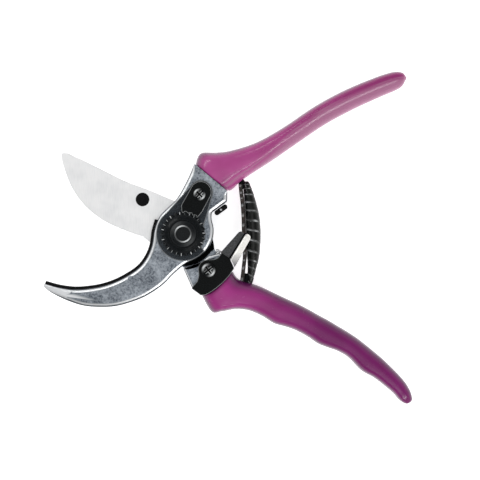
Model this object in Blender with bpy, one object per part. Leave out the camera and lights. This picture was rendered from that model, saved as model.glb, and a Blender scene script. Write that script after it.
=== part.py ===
"""Bypass pruning shears with a forged hook, open and lying on a flat surface.

Lengths are in millimetres here and become metres when a mesh is made.
+X runs from the jaws to the handles, +Z is up, and the pivot axis is the Z axis.
The pivot bolt's flat head stands on z = 0. The hook and the upper handle are one
forging; the cutting blade sits on the lower handle and turns counter-clockwise to close.
"""
import math

import bmesh
import bpy
from mathutils import Matrix, Vector

MM = 0.001

# Overall sizes
JAW_LENGTH = 73.0          # pivot axis to blade tip
HANDLE_LENGTH = 141.0      # pivot axis to the end of the lower handle
GRIP_HEIGHT = 16.4         # height of both grips

# Stack on the pivot axis, from the bolt head up
GAP = 0.3                  # clearance between any two pieces
HEAD_THICKNESS = 2.6
WASHER_THICKNESS = 0.8
BLADE_DISC_THICKNESS = 4.9
BLADE_THICKNESS = 3.0
HOOK_THICKNESS = 5.5
PLATE_THICKNESS = 1.2
NUT_THICKNESS = 2.2

# Radii on the pivot axis
BOLT_RADIUS = 4.3
HEAD_RADIUS = 9.0
BUSHING_WALL = 1.4
NUT_RADIUS = 11.0
NUT_TEETH = 26
TOOTH_DEPTH = 1.1
PLATE_RADIUS = 13.4
DISC_RADIUS = 13.0
CLEAR_RADIUS = 16.3        # the lower handle's tall block stays outside this radius

# Grips and what is inside them
GRIP_WALL = 1.9
RIDGE_SHIFT = 0.22         # how far the crest leans to the outer edge, as a part of half the width
FRONT_BOW = 1.9            # hollow of the lower grip's front edge
UPPER_LIFT = 0.33          # how much taller the upper half is at the front, where it covers the forging
LOWER_LIFT = 0.27
LIFT_STATIONS = 5          # the extra height fades out over this many stations
OUTER_POINTS = 16          # points round a grip's section
TANG_POINTS = 12

# Counter blade
COUNTER_THICKNESS = 3.0
COUNTER_WIDTH = 7.5
COUNTER_PROUD = 1.4        # how far its edge stands out of the forging

# Cutting blade's grind
GRIND_WIDTH = 4.5
EDGE_LAND = 0.35           # flat left at the edge

# Small pieces
STUD_RADIUS = 3.7
RIVET_RADIUS = 1.5
SEGMENT_HEAD_RADIUS = 5.2
SEGMENT_SCREW_HEAD = 3.0
SMALL_SHANK = 1.5
CATCH_SCREW_HEAD = 3.5
CATCH_THICKNESS = 2.0
PEG_RADIUS = 1.7
STRIP_THICKNESS = 0.6
BUMPER_LENGTH = 7.4
BUMPER_HEIGHT = 8.0
BUMPER_PROUD = 2.4
BUMPER_MIDDLE = 11.0
STEM_RADIUS = 1.6
STEM_LENGTH = 4.0
PIN_RADIUS = 0.6
PAD_ROUNDING = 0.5
STRIKE_PROUD = 1.15
STRIKE_HEAD = 1.6
STRIKE_STEM = 1.0
STRIKE_DEPTH = 2.6
RIVET_RISE = 0.35          # how far the counter blade's rivets stand above the forging
STUD_STEP = 0.8            # how far the stud's face reaches past its shank
STUD_FACE = 0.9            # its height below the blade, with the gap
BOLT_RISE = 1.4            # how far the bolt's end stands above the nut
BOLT_RECESS = 1.5          # depth of the dish in the bolt's end
BOSS_FOOT = 6.6            # radius of the nut's boss at its foot, and at its top
BOSS_TOP = 5.4
SEGMENT_SCREW_FOOT = 6.0   # lowest level of the segment's screw hole, and of the catch's
CATCH_SCREW_FOOT = 8.0
SEGMENT_HEAD_RISE = 1.3    # heights of the two screw heads
CATCH_HEAD_RISE = 1.4
HEAD_EDGE = 0.8            # height of a screw head's straight edge
SLOT_WIDTH = 0.8
SLOT_DEPTH = 0.6
SPRING_WASHER_DISH = 0.15
SPRING_WASHER_SHEET = 0.4
PEG_INSIDE = 2.5           # length of a spring peg outside its hole, and in it
PEG_LENGTH = 6.0

# Rims and chamfers
FORGING_RIM = 1.1
BLOCK_RIM = 0.8
NECK_RIM = 1.0
SHEET_RIM = 0.3
CHAMFER = 0.4
HEAD_CHAMFER = 0.5
CUT_MARGIN = 1.0           # how far a cutting body reaches past the surface that it opens

# Levels, worked out from the stack
WASHER_BOTTOM = HEAD_THICKNESS + GAP
DISC_BOTTOM = WASHER_BOTTOM + WASHER_THICKNESS + GAP
DISC_TOP = DISC_BOTTOM + BLADE_DISC_THICKNESS
BLADE_BOTTOM = DISC_TOP + GAP
BLADE_TOP = BLADE_BOTTOM + BLADE_THICKNESS
HOOK_BOTTOM = BLADE_TOP + GAP
HOOK_TOP = HOOK_BOTTOM + HOOK_THICKNESS
PLATE_BOTTOM = HOOK_TOP + GAP
PLATE_TOP = PLATE_BOTTOM + PLATE_THICKNESS
NUT_BOTTOM = PLATE_TOP + GAP
NUT_TOP = NUT_BOTTOM + NUT_THICKNESS
BOLT_TOP = NUT_TOP + BOLT_RISE
BLOCK_BOTTOM = 1.5
GRIP_MIDDLE = GRIP_HEIGHT / 2
CATCH_BOTTOM = HOOK_TOP + GAP
CATCH_TOP = CATCH_BOTTOM + CATCH_THICKNESS

# Places in plan
SEGMENT_HEAD = (8.7, 20.6)
SEGMENT_SCREW = (8.1, 19.4)
CATCH_AXIS = (12.5, -17.8)
STUD_CENTRE = (-20.6, 17.2)
BUMPER_CENTRE = (17.55, 13.35)      # on the neck's slanted face
BUMPER_DIRECTION = (0.81, 0.586)    # along that face
STRIKE_POINT = (17.3, -9.0)         # on the lower block's corner
STRIKE_DIRECTION = (0.47, 0.883)
BLADE_RIVETS = ((6.4, -7.4), (-9.6, -2.4))
COUNTER_RIVETS = ((-26.0, -22.2), (-44.0, -30.0))

JAW_START = -16.0          # plan points left of this stretch with JAW_LENGTH
JAW_STRETCH = (JAW_LENGTH + JAW_START) / (73.0 + JAW_START)
HANDLE_START = 42.0        # plan points right of this stretch with HANDLE_LENGTH
HANDLE_STRETCH = (HANDLE_LENGTH - HANDLE_START) / (141.0 - HANDLE_START)

# ---------------------------------------------------------------- curves in plan


def jaw(points):
    """The jaw's plan points, with those past the body moved out with the jaw length."""
    out = []
    for x, y in points:
        if x < JAW_START:
            x = JAW_START + (x - JAW_START) * JAW_STRETCH
        out.append((x, y))
    return out


def handle_point(x, y):
    """A handle's plan point; past the spring it moves out along its own direction."""
    reach = math.hypot(x, y)
    if reach <= HANDLE_START:
        return x, y
    factor = (HANDLE_START + (reach - HANDLE_START) * HANDLE_STRETCH) / reach
    return x * factor, y * factor


def spline(points, per_span=4):
    """Points on a Catmull-Rom curve through an open row of points."""
    rows = [Vector(p) for p in points]
    rows = [rows[0] * 2 - rows[1]] + rows + [rows[-1] * 2 - rows[-2]]
    out = []
    for a, b, c, d in zip(rows, rows[1:], rows[2:], rows[3:]):
        for step in range(per_span):
            t = step / per_span
            out.append(0.5 * (2 * b + (c - a) * t + (2 * a - 5 * b + 4 * c - d) * t * t
                              + (3 * b - a - 3 * c + d) * t ** 3))
    out.append(rows[-2].copy())
    return out


def arc(centre, radius, start, end, steps):
    """Points on an arc from one angle to another, in degrees."""
    out = []
    for index in range(steps + 1):
        angle = math.radians(start + (end - start) * index / steps)
        out.append(Vector((centre[0] + radius * math.cos(angle), centre[1] + radius * math.sin(angle))))
    return out


def chain(*runs):
    """One closed outline from runs that follow each other, without doubled points."""
    out = []
    for run in runs:
        for point in run:
            point = Vector(point)
            if not out or (point - out[-1]).length > 0.02:
                out.append(point)
    if (out[0] - out[-1]).length < 0.02:
        out.pop()
    return out


def side_offset(points, distance):
    """A row of points moved to the left of its direction; distance may be a row as well."""
    out = []
    count = len(points)
    for index, point in enumerate(points):
        ahead = points[min(index + 1, count - 1)] - points[max(index - 1, 0)]
        left = Vector((-ahead.y, ahead.x)).normalized()
        step = distance[index] if isinstance(distance, list) else distance
        out.append(point + left * step)
    return out


# ---------------------------------------------------------------- meshes


def srgb(text):
    """Linear colour from a hex sRGB string."""
    values = [int(text[i:i + 2], 16) / 255 for i in (0, 2, 4)]
    linear = [v / 12.92 if v <= 0.04045 else ((v + 0.055) / 1.055) ** 2.4 for v in values]
    return (*linear, 1.0)


def material(name, colour, roughness, metallic):
    mat = bpy.data.materials.new(name)
    mat.use_nodes = True
    shader = mat.node_tree.nodes["Principled BSDF"]
    shader.inputs["Base Color"].default_value = srgb(colour)
    shader.inputs["Roughness"].default_value = roughness
    shader.inputs["Metallic"].default_value = metallic
    mat.diffuse_color = srgb(colour)
    return mat


def add_object(name, bm, mat, parent=None, origin=(0.0, 0.0, 0.0), smooth=30.0):
    """A named object from a bmesh in millimetres, with its origin where its motion needs it."""
    bmesh.ops.recalc_face_normals(bm, faces=bm.faces)
    bm.transform(Matrix.Translation(-Vector(origin)))
    bm.transform(Matrix.Scale(MM, 4))
    mesh = bpy.data.meshes.new(name)
    bm.to_mesh(mesh)
    bm.free()
    mesh.materials.append(mat)
    mesh.shade_smooth()
    mesh.set_sharp_from_angle(angle=math.radians(smooth))
    obj = bpy.data.objects.new(name, mesh)
    bpy.context.collection.objects.link(obj)
    obj.location = Vector(origin) * MM
    if parent is not None:
        obj.parent = parent
        obj.location -= parent.matrix_world.translation
    return obj


def cross(a, b):
    return a.x * b.y - a.y * b.x


def inset(outline, distance):
    """The outline moved inward, by less wherever it is too narrow for the whole distance."""
    count = len(outline)
    area = sum(cross(outline[i - 1], outline[i]) for i in range(count))
    turn = 1.0 if area > 0 else -1.0
    ways, limits = [], []
    for index, point in enumerate(outline):
        before = (point - outline[index - 1]).normalized()
        after = (outline[(index + 1) % count] - point).normalized()
        mean = before + after
        inward = (Vector((-mean.y, mean.x)) * turn).normalized()
        limit = distance / max(0.5, mean.length / 2)
        for other in range(count):
            if other in (index, (index - 1) % count):
                continue
            start = outline[other] - point
            edge = outline[(other + 1) % count] - outline[other]
            slope = cross(inward, edge)
            if abs(slope) < 1e-9:
                continue
            reach = cross(start, edge) / slope
            share = cross(start, inward) / slope
            if reach > 1e-6 and 0 <= share <= 1:
                limit = min(limit, reach * 0.3)
        ways.append(inward)
        limits.append(limit)
    for direction in (1, -1):
        for index in range(0, 2 * count * direction, direction):
            here, near = index % count, (index - direction) % count
            step = 0.4 * (outline[here] - outline[near]).length
            limits[here] = min(limits[here], limits[near] + step)
    return [point + way * limit for point, way, limit in zip(outline, ways, limits)]


def prism(outline, bottom, top, rim=0.0, base_rim=0.0, segments=2):
    """An extruded outline whose top and bottom rims may be rounded."""
    levels = []
    for step in range(segments + 1 if base_rim > 0 else 1):
        angle = math.pi / 2 * (1 - step / segments)
        levels.append((base_rim * (1 - math.cos(angle)), bottom + base_rim * (1 - math.sin(angle))))
    for step in range(segments + 1 if rim > 0 else 1):
        angle = math.pi / 2 * step / segments
        levels.append((rim * (1 - math.cos(angle)), top - rim * (1 - math.sin(angle))))
    rings = []
    for distance, height in levels:
        row = inset(outline, distance) if distance > 1e-9 else outline
        rings.append([Vector((p.x, p.y, height)) for p in row])
    return skin(rings)


def turned(profile, segments=32, centre=(0.0, 0.0)):
    """A body turned about a vertical axis from (radius, height) points, closed on itself."""
    bm = bmesh.new()
    rings = []
    for radius, height in profile:
        if radius < 1e-6:
            rings.append([bm.verts.new((centre[0], centre[1], height))])
            continue
        ring = []
        for index in range(segments):
            angle = 2 * math.pi * index / segments
            ring.append(bm.verts.new((centre[0] + radius * math.cos(angle),
                                      centre[1] + radius * math.sin(angle), height)))
        rings.append(ring)
    closed = len(rings[0]) > 1 and len(rings[-1]) > 1
    pairs = list(zip(rings, rings[1:]))
    if closed:
        pairs.append((rings[-1], rings[0]))
    for low, high in pairs:
        bridge(bm, low, high)
    return bm


def bridge(bm, low, high):
    """Faces between two rings; a ring of one vertex is a pole."""
    count = max(len(low), len(high))
    for index in range(count):
        following = (index + 1) % count
        if len(low) == 1:
            bm.faces.new((low[0], high[index], high[following]))
        elif len(high) == 1:
            bm.faces.new((low[index], low[following], high[0]))
        else:
            bm.faces.new((low[index], low[following], high[following], high[index]))


def skin(rings):
    """A closed body over rows of points that all have the same count."""
    bm = bmesh.new()
    made = [[bm.verts.new(p) for p in ring] for ring in rings]
    for low, high in zip(made, made[1:]):
        bridge(bm, low, high)
    bm.faces.new(made[0])
    bm.faces.new(made[-1])
    return bm


def along(bm, origin, direction):
    """Turns a body made on the Z axis to lie along a direction, at a place."""
    turn = Vector((0, 0, 1)).rotation_difference(Vector(direction).normalized()).to_matrix().to_4x4()
    bm.transform(Matrix.Translation(Vector(origin)) @ turn)
    return bm


def helper(name, bm):
    """A guide body for a Boolean; it is no piece of the shears."""
    obj = add_object(name, bm, guide_material)
    obj.hide_render = True
    obj.display_type = "WIRE"
    return obj


def combine(obj, other, operation):
    modifier = obj.modifiers.new(other.name, "BOOLEAN")
    modifier.operation = operation
    modifier.object = other
    modifier.solver = "EXACT"


def bore(obj, name, centre, radius, bottom, top, segments=24):
    """A round vertical hole through part of a piece."""
    profile = [(0, bottom), (radius, bottom), (radius, top), (0, top)]
    combine(obj, helper(name, turned(profile, segments, centre)), "DIFFERENCE")


# ---------------------------------------------------------------- handle sections

# Stations down each handle: a point on the outer edge, a point on the inner edge, height share
UPPER_STATIONS = (
    ((5.4, 34.9), (21.8, 21.3), 0.93), ((8.4, 40.4), (24.4, 22.6), 0.94),
    ((16.2, 40.8), (28.2, 26.2), 0.97), ((24.0, 41.9), (33.5, 30.0), 0.99),
    ((36.5, 46.0), (43.5, 36.4), 1.0), ((49.9, 53.5), (56.0, 45.0), 1.0),
    ((65.4, 63.9), (70.5, 54.8), 1.0), ((80.0, 71.8), (84.5, 62.4), 0.98),
    ((94.7, 78.0), (98.0, 68.6), 0.93), ((104.0, 81.0), (105.8, 71.9), 0.85),
    ((109.0, 80.9), (109.2, 74.0), 0.68), ((111.2, 78.6), (110.9, 76.9), 0.36))
LOWER_STATIONS = (
    ((8.7, -30.6), (24.1, -18.4), 0.93), ((13.8, -38.9), (26.6, -22.0), 0.94),
    ((18.9, -38.8), (30.4, -23.9), 0.95), ((25.6, -37.6), (34.4, -24.9), 0.97),
    ((32.3, -38.2), (39.0, -26.6), 0.99), ((39.0, -41.0), (44.5, -29.2), 1.0),
    ((45.0, -44.7), (51.0, -32.3), 1.0), ((50.5, -46.3), (56.5, -34.8), 1.0),
    ((56.0, -48.2), (62.0, -37.6), 1.0), ((61.9, -51.4), (67.5, -40.7), 1.0),
    ((66.6, -54.6), (72.5, -43.4), 1.0), ((70.5, -56.3), (76.5, -45.8), 1.0),
    ((77.2, -58.7), (83.0, -49.7), 1.0), ((82.5, -62.0), (88.2, -53.3), 0.99),
    ((88.6, -68.2), (95.0, -58.8), 0.97), ((95.5, -72.2), (101.0, -64.0), 0.94),
    ((103.9, -78.9), (109.0, -72.1), 0.88), ((107.6, -83.0), (112.8, -77.6), 0.78),
    ((110.4, -84.8), (114.2, -81.9), 0.6), ((112.2, -84.7), (113.9, -83.5), 0.34))


def section(outer, inner, height, inset, count, bow, lift):
    """A rounded section between an outer and an inner edge point, with its crest off centre."""
    middle = (outer + inner) / 2
    across = (outer - inner) / 2
    half_width = max(across.length - inset, 0.25)
    half_height = max(height / 2 - inset, 0.25)
    direction = across.normalized()
    ahead = Vector((direction.y, -direction.x))
    if ahead.dot(middle) < 0:
        ahead = -ahead
    ring = []
    for index in range(count):
        angle = 2 * math.pi * (index + 0.5) / count
        side = math.copysign(abs(math.cos(angle)) ** 0.72, math.cos(angle))
        rise = math.copysign(abs(math.sin(angle)) ** 0.8, math.sin(angle))
        lean = RIDGE_SHIFT * max(rise, 0.0) * (1 - side * side)
        place = direction * (half_width * (side + lean)) + ahead * (bow * (1 - side * side))
        level = GRIP_MIDDLE + half_height * rise * (1 + lift if rise > 0 else 1)
        ring.append(Vector((middle.x + place.x, middle.y + place.y, level)))
    return ring


def handle_rings(stations, inset, count, per_span, bow, lift):
    """Sections down a handle; the bow fades out within two stations, the lift more slowly."""
    rows = [(*handle_point(*o), *handle_point(*i), h * GRIP_HEIGHT) for o, i, h in stations]
    rings = []
    for index, row in enumerate(spline(rows, per_span)):
        fade = max(0.0, 1 - index / (2 * per_span))
        share = max(0.0, 1 - index / (LIFT_STATIONS * per_span))
        rise = lift * share * share * (3 - 2 * share)
        outer, inner = Vector(row[0:2]), Vector(row[2:4])
        rings.append(section(outer, inner, row[4], inset, count, bow * fade * fade, rise))
    return rings


def grip(stations, bow, lift, per_span):
    """A sleeve: outer skin, closed far end, and a blind pocket open at the front."""
    outer = handle_rings(stations, 0.0, OUTER_POINTS, per_span, bow, lift)
    pocket = handle_rings(stations[:-2], GRIP_WALL, OUTER_POINTS, 1, bow, lift)
    bm = bmesh.new()
    outside = [[bm.verts.new(p) for p in ring] for ring in outer]
    inside = [[bm.verts.new(p) for p in ring] for ring in pocket]
    for rings in (outside, inside):
        for low, high in zip(rings, rings[1:]):
            bridge(bm, low, high)
        bm.faces.new(rings[-1])
    bridge(bm, inside[0], outside[0])
    return bm


def tang(stations, bow, lift, into_body):
    """The forging's bar inside a grip, carried a little way back into the body."""
    rings = handle_rings(stations[:-3], GRIP_WALL + GAP, TANG_POINTS, 1, bow, lift)
    back = Vector((into_body[0], into_body[1], 0.0))
    return skin([[p + back for p in rings[0]]] + rings)


def front_line(stations, clearance):
    """The body's end next to a grip: the grip's front edge moved back by a clearance."""
    outer, inner = Vector(stations[0][0]), Vector(stations[0][1])
    along_line = (inner - outer).normalized()
    back = Vector((along_line.y, -along_line.x))
    if back.dot((outer + inner) / 2) > 0:
        back = -back
    return outer + back * clearance, inner + back * clearance


# ---------------------------------------------------------------- outlines

COUNTER_EDGE = spline(jaw([(-14.3, 7.4), (-15.9, 1.5), (-16.9, -5.2), (-19.5, -11.3), (-23.6, -16.2),
                           (-31.2, -21.0), (-38.9, -24.1), (-46.5, -25.6), (-54.2, -26.1),
                           (-61.8, -25.1), (-68.4, -23.3)]), 3)


def counter_widths(base, extra):
    """Width along the counter blade, narrowing to the tip."""
    last = len(COUNTER_EDGE) - 1
    out = []
    for index in range(last + 1):
        share = index / last
        width = base * min(1.0, 0.55 + 1.6 * share) * min(1.0, 0.24 + 1.9 * (1 - share))
        out.append(width + extra)
    return out


def counter_band(clearance, open_side):
    """The counter blade's outline, or the rebate it lies in."""
    inner = side_offset(COUNTER_EDGE, -open_side)
    outer = side_offset(COUNTER_EDGE, counter_widths(COUNTER_WIDTH, clearance))
    return chain(inner, list(reversed(outer)))


def hook_outline():
    """Body, hook and neck in plan, up to the grip."""
    top_left, top_right = front_line(UPPER_STATIONS, GAP + 0.1)
    left = spline([top_left, (3.2, 29.4), (0.2, 23.3), (-3.4, 17.3), (-7.8, 12.9), (-11.3, 9.4),
                   (-12.9, 6.6)], 3)
    inner = side_offset(COUNTER_EDGE, COUNTER_PROUD)[2:-1]
    outer = spline(jaw([(-69.6, -24.6), (-69.0, -26.4), (-64.4, -29.7), (-56.7, -33.3), (-49.1, -35.6),
                        (-41.4, -36.2), (-33.8, -35.8), (-26.1, -33.8), (-18.5, -30.7), (-10.8, -25.6),
                        (-5.7, -20.5), (-1.7, -16.8)]), 3)
    right = spline([(-1.7, -16.8), (2.2, -14.2), (6.4, -12.3), (11.2, -8.4), (14.3, -2.8), (14.9, 2.6),
                    (13.9, 7.2), (13.9, 10.6)], 3)
    return chain(left, inner, outer, right, [(21.6, 16.2), top_right])


def neck_outline():
    """The neck's full-height part, outside everything that turns under the hook body."""
    top_left, top_right = front_line(UPPER_STATIONS, GAP + 0.1)
    inner_radius = CLEAR_RADIUS + 0.5
    inside = arc((0, 0), inner_radius, 88, 44, 6)
    return chain([top_left, (3.3, 29.2), (1.2, 23.6)], inside, [(13.95, 10.75), (21.5, 16.2), top_right])


def blade_runs():
    """The cutting blade's outline in runs: spine, cutting edge, throat, lobe, back."""
    spine = spline(jaw([(-3.0, 15.9), (-5.3, 16.8), (-18.3, 22.3), (-29.8, 26.7), (-43.2, 33.4),
                        (-57.6, 40.3)]), 2)
    edge = spline(jaw([(-57.6, 40.3), (-60.6, 40.6), (-60.9, 37.6), (-59.0, 30.6), (-55.2, 21.9),
                       (-49.3, 14.0), (-41.4, 7.5), (-32.3, 2.9), (-22.8, -0.6)]), 3)
    throat = spline([(-20.2, -1.3), (-17.6, -3.6), (-13.6, -6.2), (-9.5, -10.2), (-4.0, -14.6)], 3)
    lobe = arc((0, 0), CLEAR_RADIUS - GAP, -100, -34, 8)
    back = spline([(15.1, -7.6), (15.0, -5.8), (14.2, -1.5), (12.6, 6.0), (7.2, 12.2), (-3.0, 15.9)], 3)
    return spine, edge, throat, lobe, back


def ground_blade():
    """The blade's body: flat on top, ground away below along its cutting edge."""
    spine, edge, throat, lobe, back = blade_runs()
    last = len(edge) - 1
    widths = [GRIND_WIDTH * min(1.0, 5 * i / last, 6 * (last - i) / last) for i in range(last + 1)]
    ground = side_offset(edge, widths)
    rings = []
    for run, height in ((ground, BLADE_BOTTOM), (edge, BLADE_TOP - EDGE_LAND), (edge, BLADE_TOP)):
        row = spine + run[1:] + throat + lobe + back[:-1]
        rings.append([Vector((p[0], p[1], height)) for p in row])
    return skin(rings)


def block_outline():
    """The tall part of the lower forging, between the pivot disc and the grip."""
    low_left, top_right = front_line(LOWER_STATIONS, GAP + 0.1)
    inside = arc((0, 0), CLEAR_RADIUS + GAP, -90.5, -44, 8)
    return chain(inside, [(15.2, -10.2), (18.2, -9.7), (19.0, -11.0), top_right, low_left, (4.3, -26.6)])


def disc_outline():
    """The lower forging's low part: a disc round the pivot, drawn out to the block."""
    return chain(arc((0, 0), DISC_RADIUS, 8, 232, 34),
                 [(-0.2, -16.9), (4.0, -25.0), (10.0, -22.0), (18.0, -14.0), (17.2, -10.2), (15.0, -7.6)])


def gear_radius(angle, extra):
    """Radius of the toothed nut at an angle, in degrees, plus a clearance."""
    phase = (angle * NUT_TEETH / 360.0) % 1.0
    height = 1.0 if phase < 0.4 else 0.0
    return NUT_RADIUS - TOOTH_DEPTH * (1 - height) + extra


def gear_arc(start, end, extra):
    """The nut's outline between two angles: two points on each crest and in each root."""
    pitch = 360.0 / NUT_TEETH
    points = []
    for tooth in range(math.ceil(start / pitch) - 1, math.floor(end / pitch) + 1):
        for share, phase in ((0.0, 0.1), (0.3, 0.1), (0.45, 0.6), (0.85, 0.6)):
            angle = (tooth + share) * pitch
            if start <= angle <= end:
                radius = gear_radius((tooth + phase) * pitch, extra)
                points.append(Vector((radius * math.cos(math.radians(angle)),
                                      radius * math.sin(math.radians(angle)))))
    return points


def plate_outline():
    """The cover plate: round at the pivot, drawn out to the locking segment."""
    big = arc((0, 0), PLATE_RADIUS, 128, 322, 24)
    small = arc((0, 0), NUT_RADIUS - 0.2, 324, 382, 7)
    head = arc(SEGMENT_HEAD, SEGMENT_HEAD_RADIUS + 0.8, -5, 150, 10)
    return chain(big, small, [(11.6, 8.6)], head)


def segment_outline():
    """The locking segment: a round head and a toothed foot in the nut's teeth."""
    head = arc(SEGMENT_HEAD, SEGMENT_HEAD_RADIUS, -22, 160, 12)
    foot = gear_arc(49, 93, GAP + 0.35)
    return chain(head, [(-0.9, 14.0)], list(reversed(foot)), [(9.3, 10.7)])


def catch_outline():
    """The thumb catch's base plate."""
    round_end = arc(CATCH_AXIS, 5.2, 165, 80, 6)
    return chain(round_end, spline([(15.8, -12.6), (18.6, -11.7), (22.4, -12.2)], 2),
                 spline([(25.2, -17.0), (21.9, -21.5), (17.2, -26.0), (12.0, -29.6), (8.8, -30.3)], 3),
                 [(4.2, -27.0), (4.4, -26.2)], spline([(6.9, -23.4), (7.6, -20.5), (7.4, -17.6)], 2))


# ---------------------------------------------------------------- pieces of the hook side


def make_hook_handle():
    body = prism(hook_outline(), HOOK_BOTTOM, HOOK_TOP, rim=FORGING_RIM, base_rim=CHAMFER)
    obj = add_object("hook_handle", body, aluminium)
    combine(obj, helper("neck_guide", prism(neck_outline(), BLOCK_BOTTOM, HOOK_BOTTOM + 2.0, base_rim=NECK_RIM)),
            "UNION")
    tang_body = tang(UPPER_STATIONS, 0.0, UPPER_LIFT, (-1.9, -2.5))
    combine(obj, helper("upper_tang_guide", tang_body), "UNION")
    rebate = prism(counter_band(GAP, 3.0), HOOK_BOTTOM - CUT_MARGIN, HOOK_BOTTOM + COUNTER_THICKNESS + GAP)
    combine(obj, helper("rebate_guide", rebate), "DIFFERENCE")
    bore(obj, "hook_bore_guide", (0, 0), BOLT_RADIUS + GAP, HOOK_BOTTOM - CUT_MARGIN, HOOK_TOP + CUT_MARGIN, 32)
    bore(obj, "segment_screw_bore_guide", SEGMENT_SCREW, SMALL_SHANK + GAP, SEGMENT_SCREW_FOOT,
         HOOK_TOP + CUT_MARGIN, 16)
    for index, centre in enumerate(jaw(COUNTER_RIVETS)):
        bore(obj, "counter_rivet_bore_guide_%d" % index, centre, RIVET_RADIUS + GAP,
             HOOK_BOTTOM - CUT_MARGIN, HOOK_TOP + CUT_MARGIN, 16)
    stem = [(0, -0.5), (STEM_RADIUS + GAP, -0.5), (STEM_RADIUS + GAP, STEM_LENGTH + GAP),
            (0, STEM_LENGTH + GAP)]
    combine(obj, helper("bumper_bore_guide", along(turned(stem, 16), bumper_base(), bumper_inward())),
            "DIFFERENCE")
    combine(obj, helper("upper_peg_guide", spring_peg(0, GAP)), "DIFFERENCE")
    return obj


def make_counter_blade():
    obj = add_object("counter_blade", prism(counter_band(0.0, 0.0), HOOK_BOTTOM,
                                            HOOK_BOTTOM + COUNTER_THICKNESS), hard_steel)
    for index, centre in enumerate(jaw(COUNTER_RIVETS)):
        bore(obj, "blade_rivet_bore_guide_%d" % index, centre, RIVET_RADIUS + GAP,
             HOOK_BOTTOM - CUT_MARGIN, HOOK_BOTTOM + COUNTER_THICKNESS + CUT_MARGIN, 16)


def make_counter_rivets():
    for name, centre in zip(("counter_rivet_rear", "counter_rivet_front"), jaw(COUNTER_RIVETS)):
        low, high = HOOK_BOTTOM, HOOK_TOP + RIVET_RISE
        profile = [(0, low), (RIVET_RADIUS, low), (RIVET_RADIUS, high - 0.3), (RIVET_RADIUS - CHAMFER, high),
                   (0, high)]
        add_object(name, turned(profile, 16, centre), rivet_steel)


def bumper_base():
    return Vector((BUMPER_CENTRE[0], BUMPER_CENTRE[1], BUMPER_MIDDLE))


def bumper_outward():
    return Vector((BUMPER_DIRECTION[1], -BUMPER_DIRECTION[0], 0)).normalized()


def bumper_inward():
    return -bumper_outward()


def make_bumper():
    """A rubber pad on the neck's slanted face, with a stem in a hole and a pin through it."""
    base = bumper_base() + bumper_outward() * (GAP + 0.1)
    straight = BUMPER_LENGTH / 2 - BUMPER_PROUD / 2
    side = Vector((BUMPER_DIRECTION[0], BUMPER_DIRECTION[1])).normalized()
    front = Vector((bumper_outward().x, bumper_outward().y))
    middle = Vector((base.x, base.y)) + front * BUMPER_PROUD / 2
    angle = math.degrees(math.atan2(side.y, side.x))
    outline = chain(arc(middle + side * straight, BUMPER_PROUD / 2, angle - 90, angle + 90, 6),
                    arc(middle - side * straight, BUMPER_PROUD / 2, angle + 90, angle + 270, 6))
    half = BUMPER_HEIGHT / 2
    obj = add_object("bumper_pad", prism(outline, BUMPER_MIDDLE - half, BUMPER_MIDDLE + half, rim=PAD_ROUNDING,
                                         base_rim=PAD_ROUNDING), black_rubber)
    stem = [(0, -0.8), (STEM_RADIUS, -0.8), (STEM_RADIUS, STEM_LENGTH), (0, STEM_LENGTH)]
    combine(obj, helper("bumper_stem_guide", along(turned(stem, 16), base, bumper_inward())), "UNION")
    pin_place = (middle.x, middle.y)
    bore(obj, "bumper_pin_guide", pin_place, PIN_RADIUS + GAP, BUMPER_MIDDLE,
         BUMPER_MIDDLE + half + CUT_MARGIN, 12)
    top = BUMPER_MIDDLE + half + 0.3
    profile = [(0, BUMPER_MIDDLE + GAP), (PIN_RADIUS, BUMPER_MIDDLE + GAP), (PIN_RADIUS, top - 0.2),
               (PIN_RADIUS - 0.2, top), (0, top)]
    add_object("bumper_pin", turned(profile, 12, pin_place), rivet_steel)


def make_upper_grip():
    obj = add_object("upper_grip", grip(UPPER_STATIONS, 0.0, UPPER_LIFT, 3), upper_vinyl, smooth=60)
    combine(obj, helper("upper_grip_peg_guide", spring_peg(0, GAP)), "DIFFERENCE")


def make_pivot_stack():
    dish = BOLT_TOP - BOLT_RECESS
    bolt = [(0, 0), (HEAD_RADIUS - HEAD_CHAMFER, 0), (HEAD_RADIUS, HEAD_CHAMFER),
            (HEAD_RADIUS, HEAD_THICKNESS - HEAD_CHAMFER), (HEAD_RADIUS - HEAD_CHAMFER, HEAD_THICKNESS),
            (BOLT_RADIUS, HEAD_THICKNESS), (BOLT_RADIUS, BOLT_TOP - CHAMFER), (BOLT_RADIUS - CHAMFER, BOLT_TOP),
            (BOLT_RADIUS - 1.0, BOLT_TOP), (BOLT_RADIUS - 1.3, dish), (0, dish)]
    add_object("pivot_bolt", turned(bolt, 32), black_steel)
    hole = BOLT_RADIUS + GAP
    cover = add_object("cover_plate", prism(plate_outline(), PLATE_BOTTOM, PLATE_TOP, rim=0.25, segments=1),
                       black_steel)
    bore(cover, "cover_bore_guide", (0, 0), hole, PLATE_BOTTOM - CUT_MARGIN, PLATE_TOP + CUT_MARGIN, 32)
    bore(cover, "cover_screw_guide", SEGMENT_SCREW, SMALL_SHANK + GAP, PLATE_BOTTOM - CUT_MARGIN,
         PLATE_TOP + CUT_MARGIN, 16)
    nut = add_object("toothed_nut", prism(chain(gear_arc(0, 359.9, 0.0)), NUT_BOTTOM, NUT_TOP), black_steel)
    boss_top = BOLT_TOP - 0.5
    boss_low = NUT_BOTTOM + 0.5
    boss = [(0, boss_low), (BOSS_FOOT, boss_low), (BOSS_FOOT - 0.2, NUT_TOP + 0.4), (BOSS_TOP, boss_top),
            (0, boss_top)]
    combine(nut, helper("nut_boss_guide", turned(boss, 32)), "UNION")
    bore(nut, "nut_bore_guide", (0, 0), hole, NUT_BOTTOM - CUT_MARGIN, BOLT_TOP + CUT_MARGIN, 32)


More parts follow.
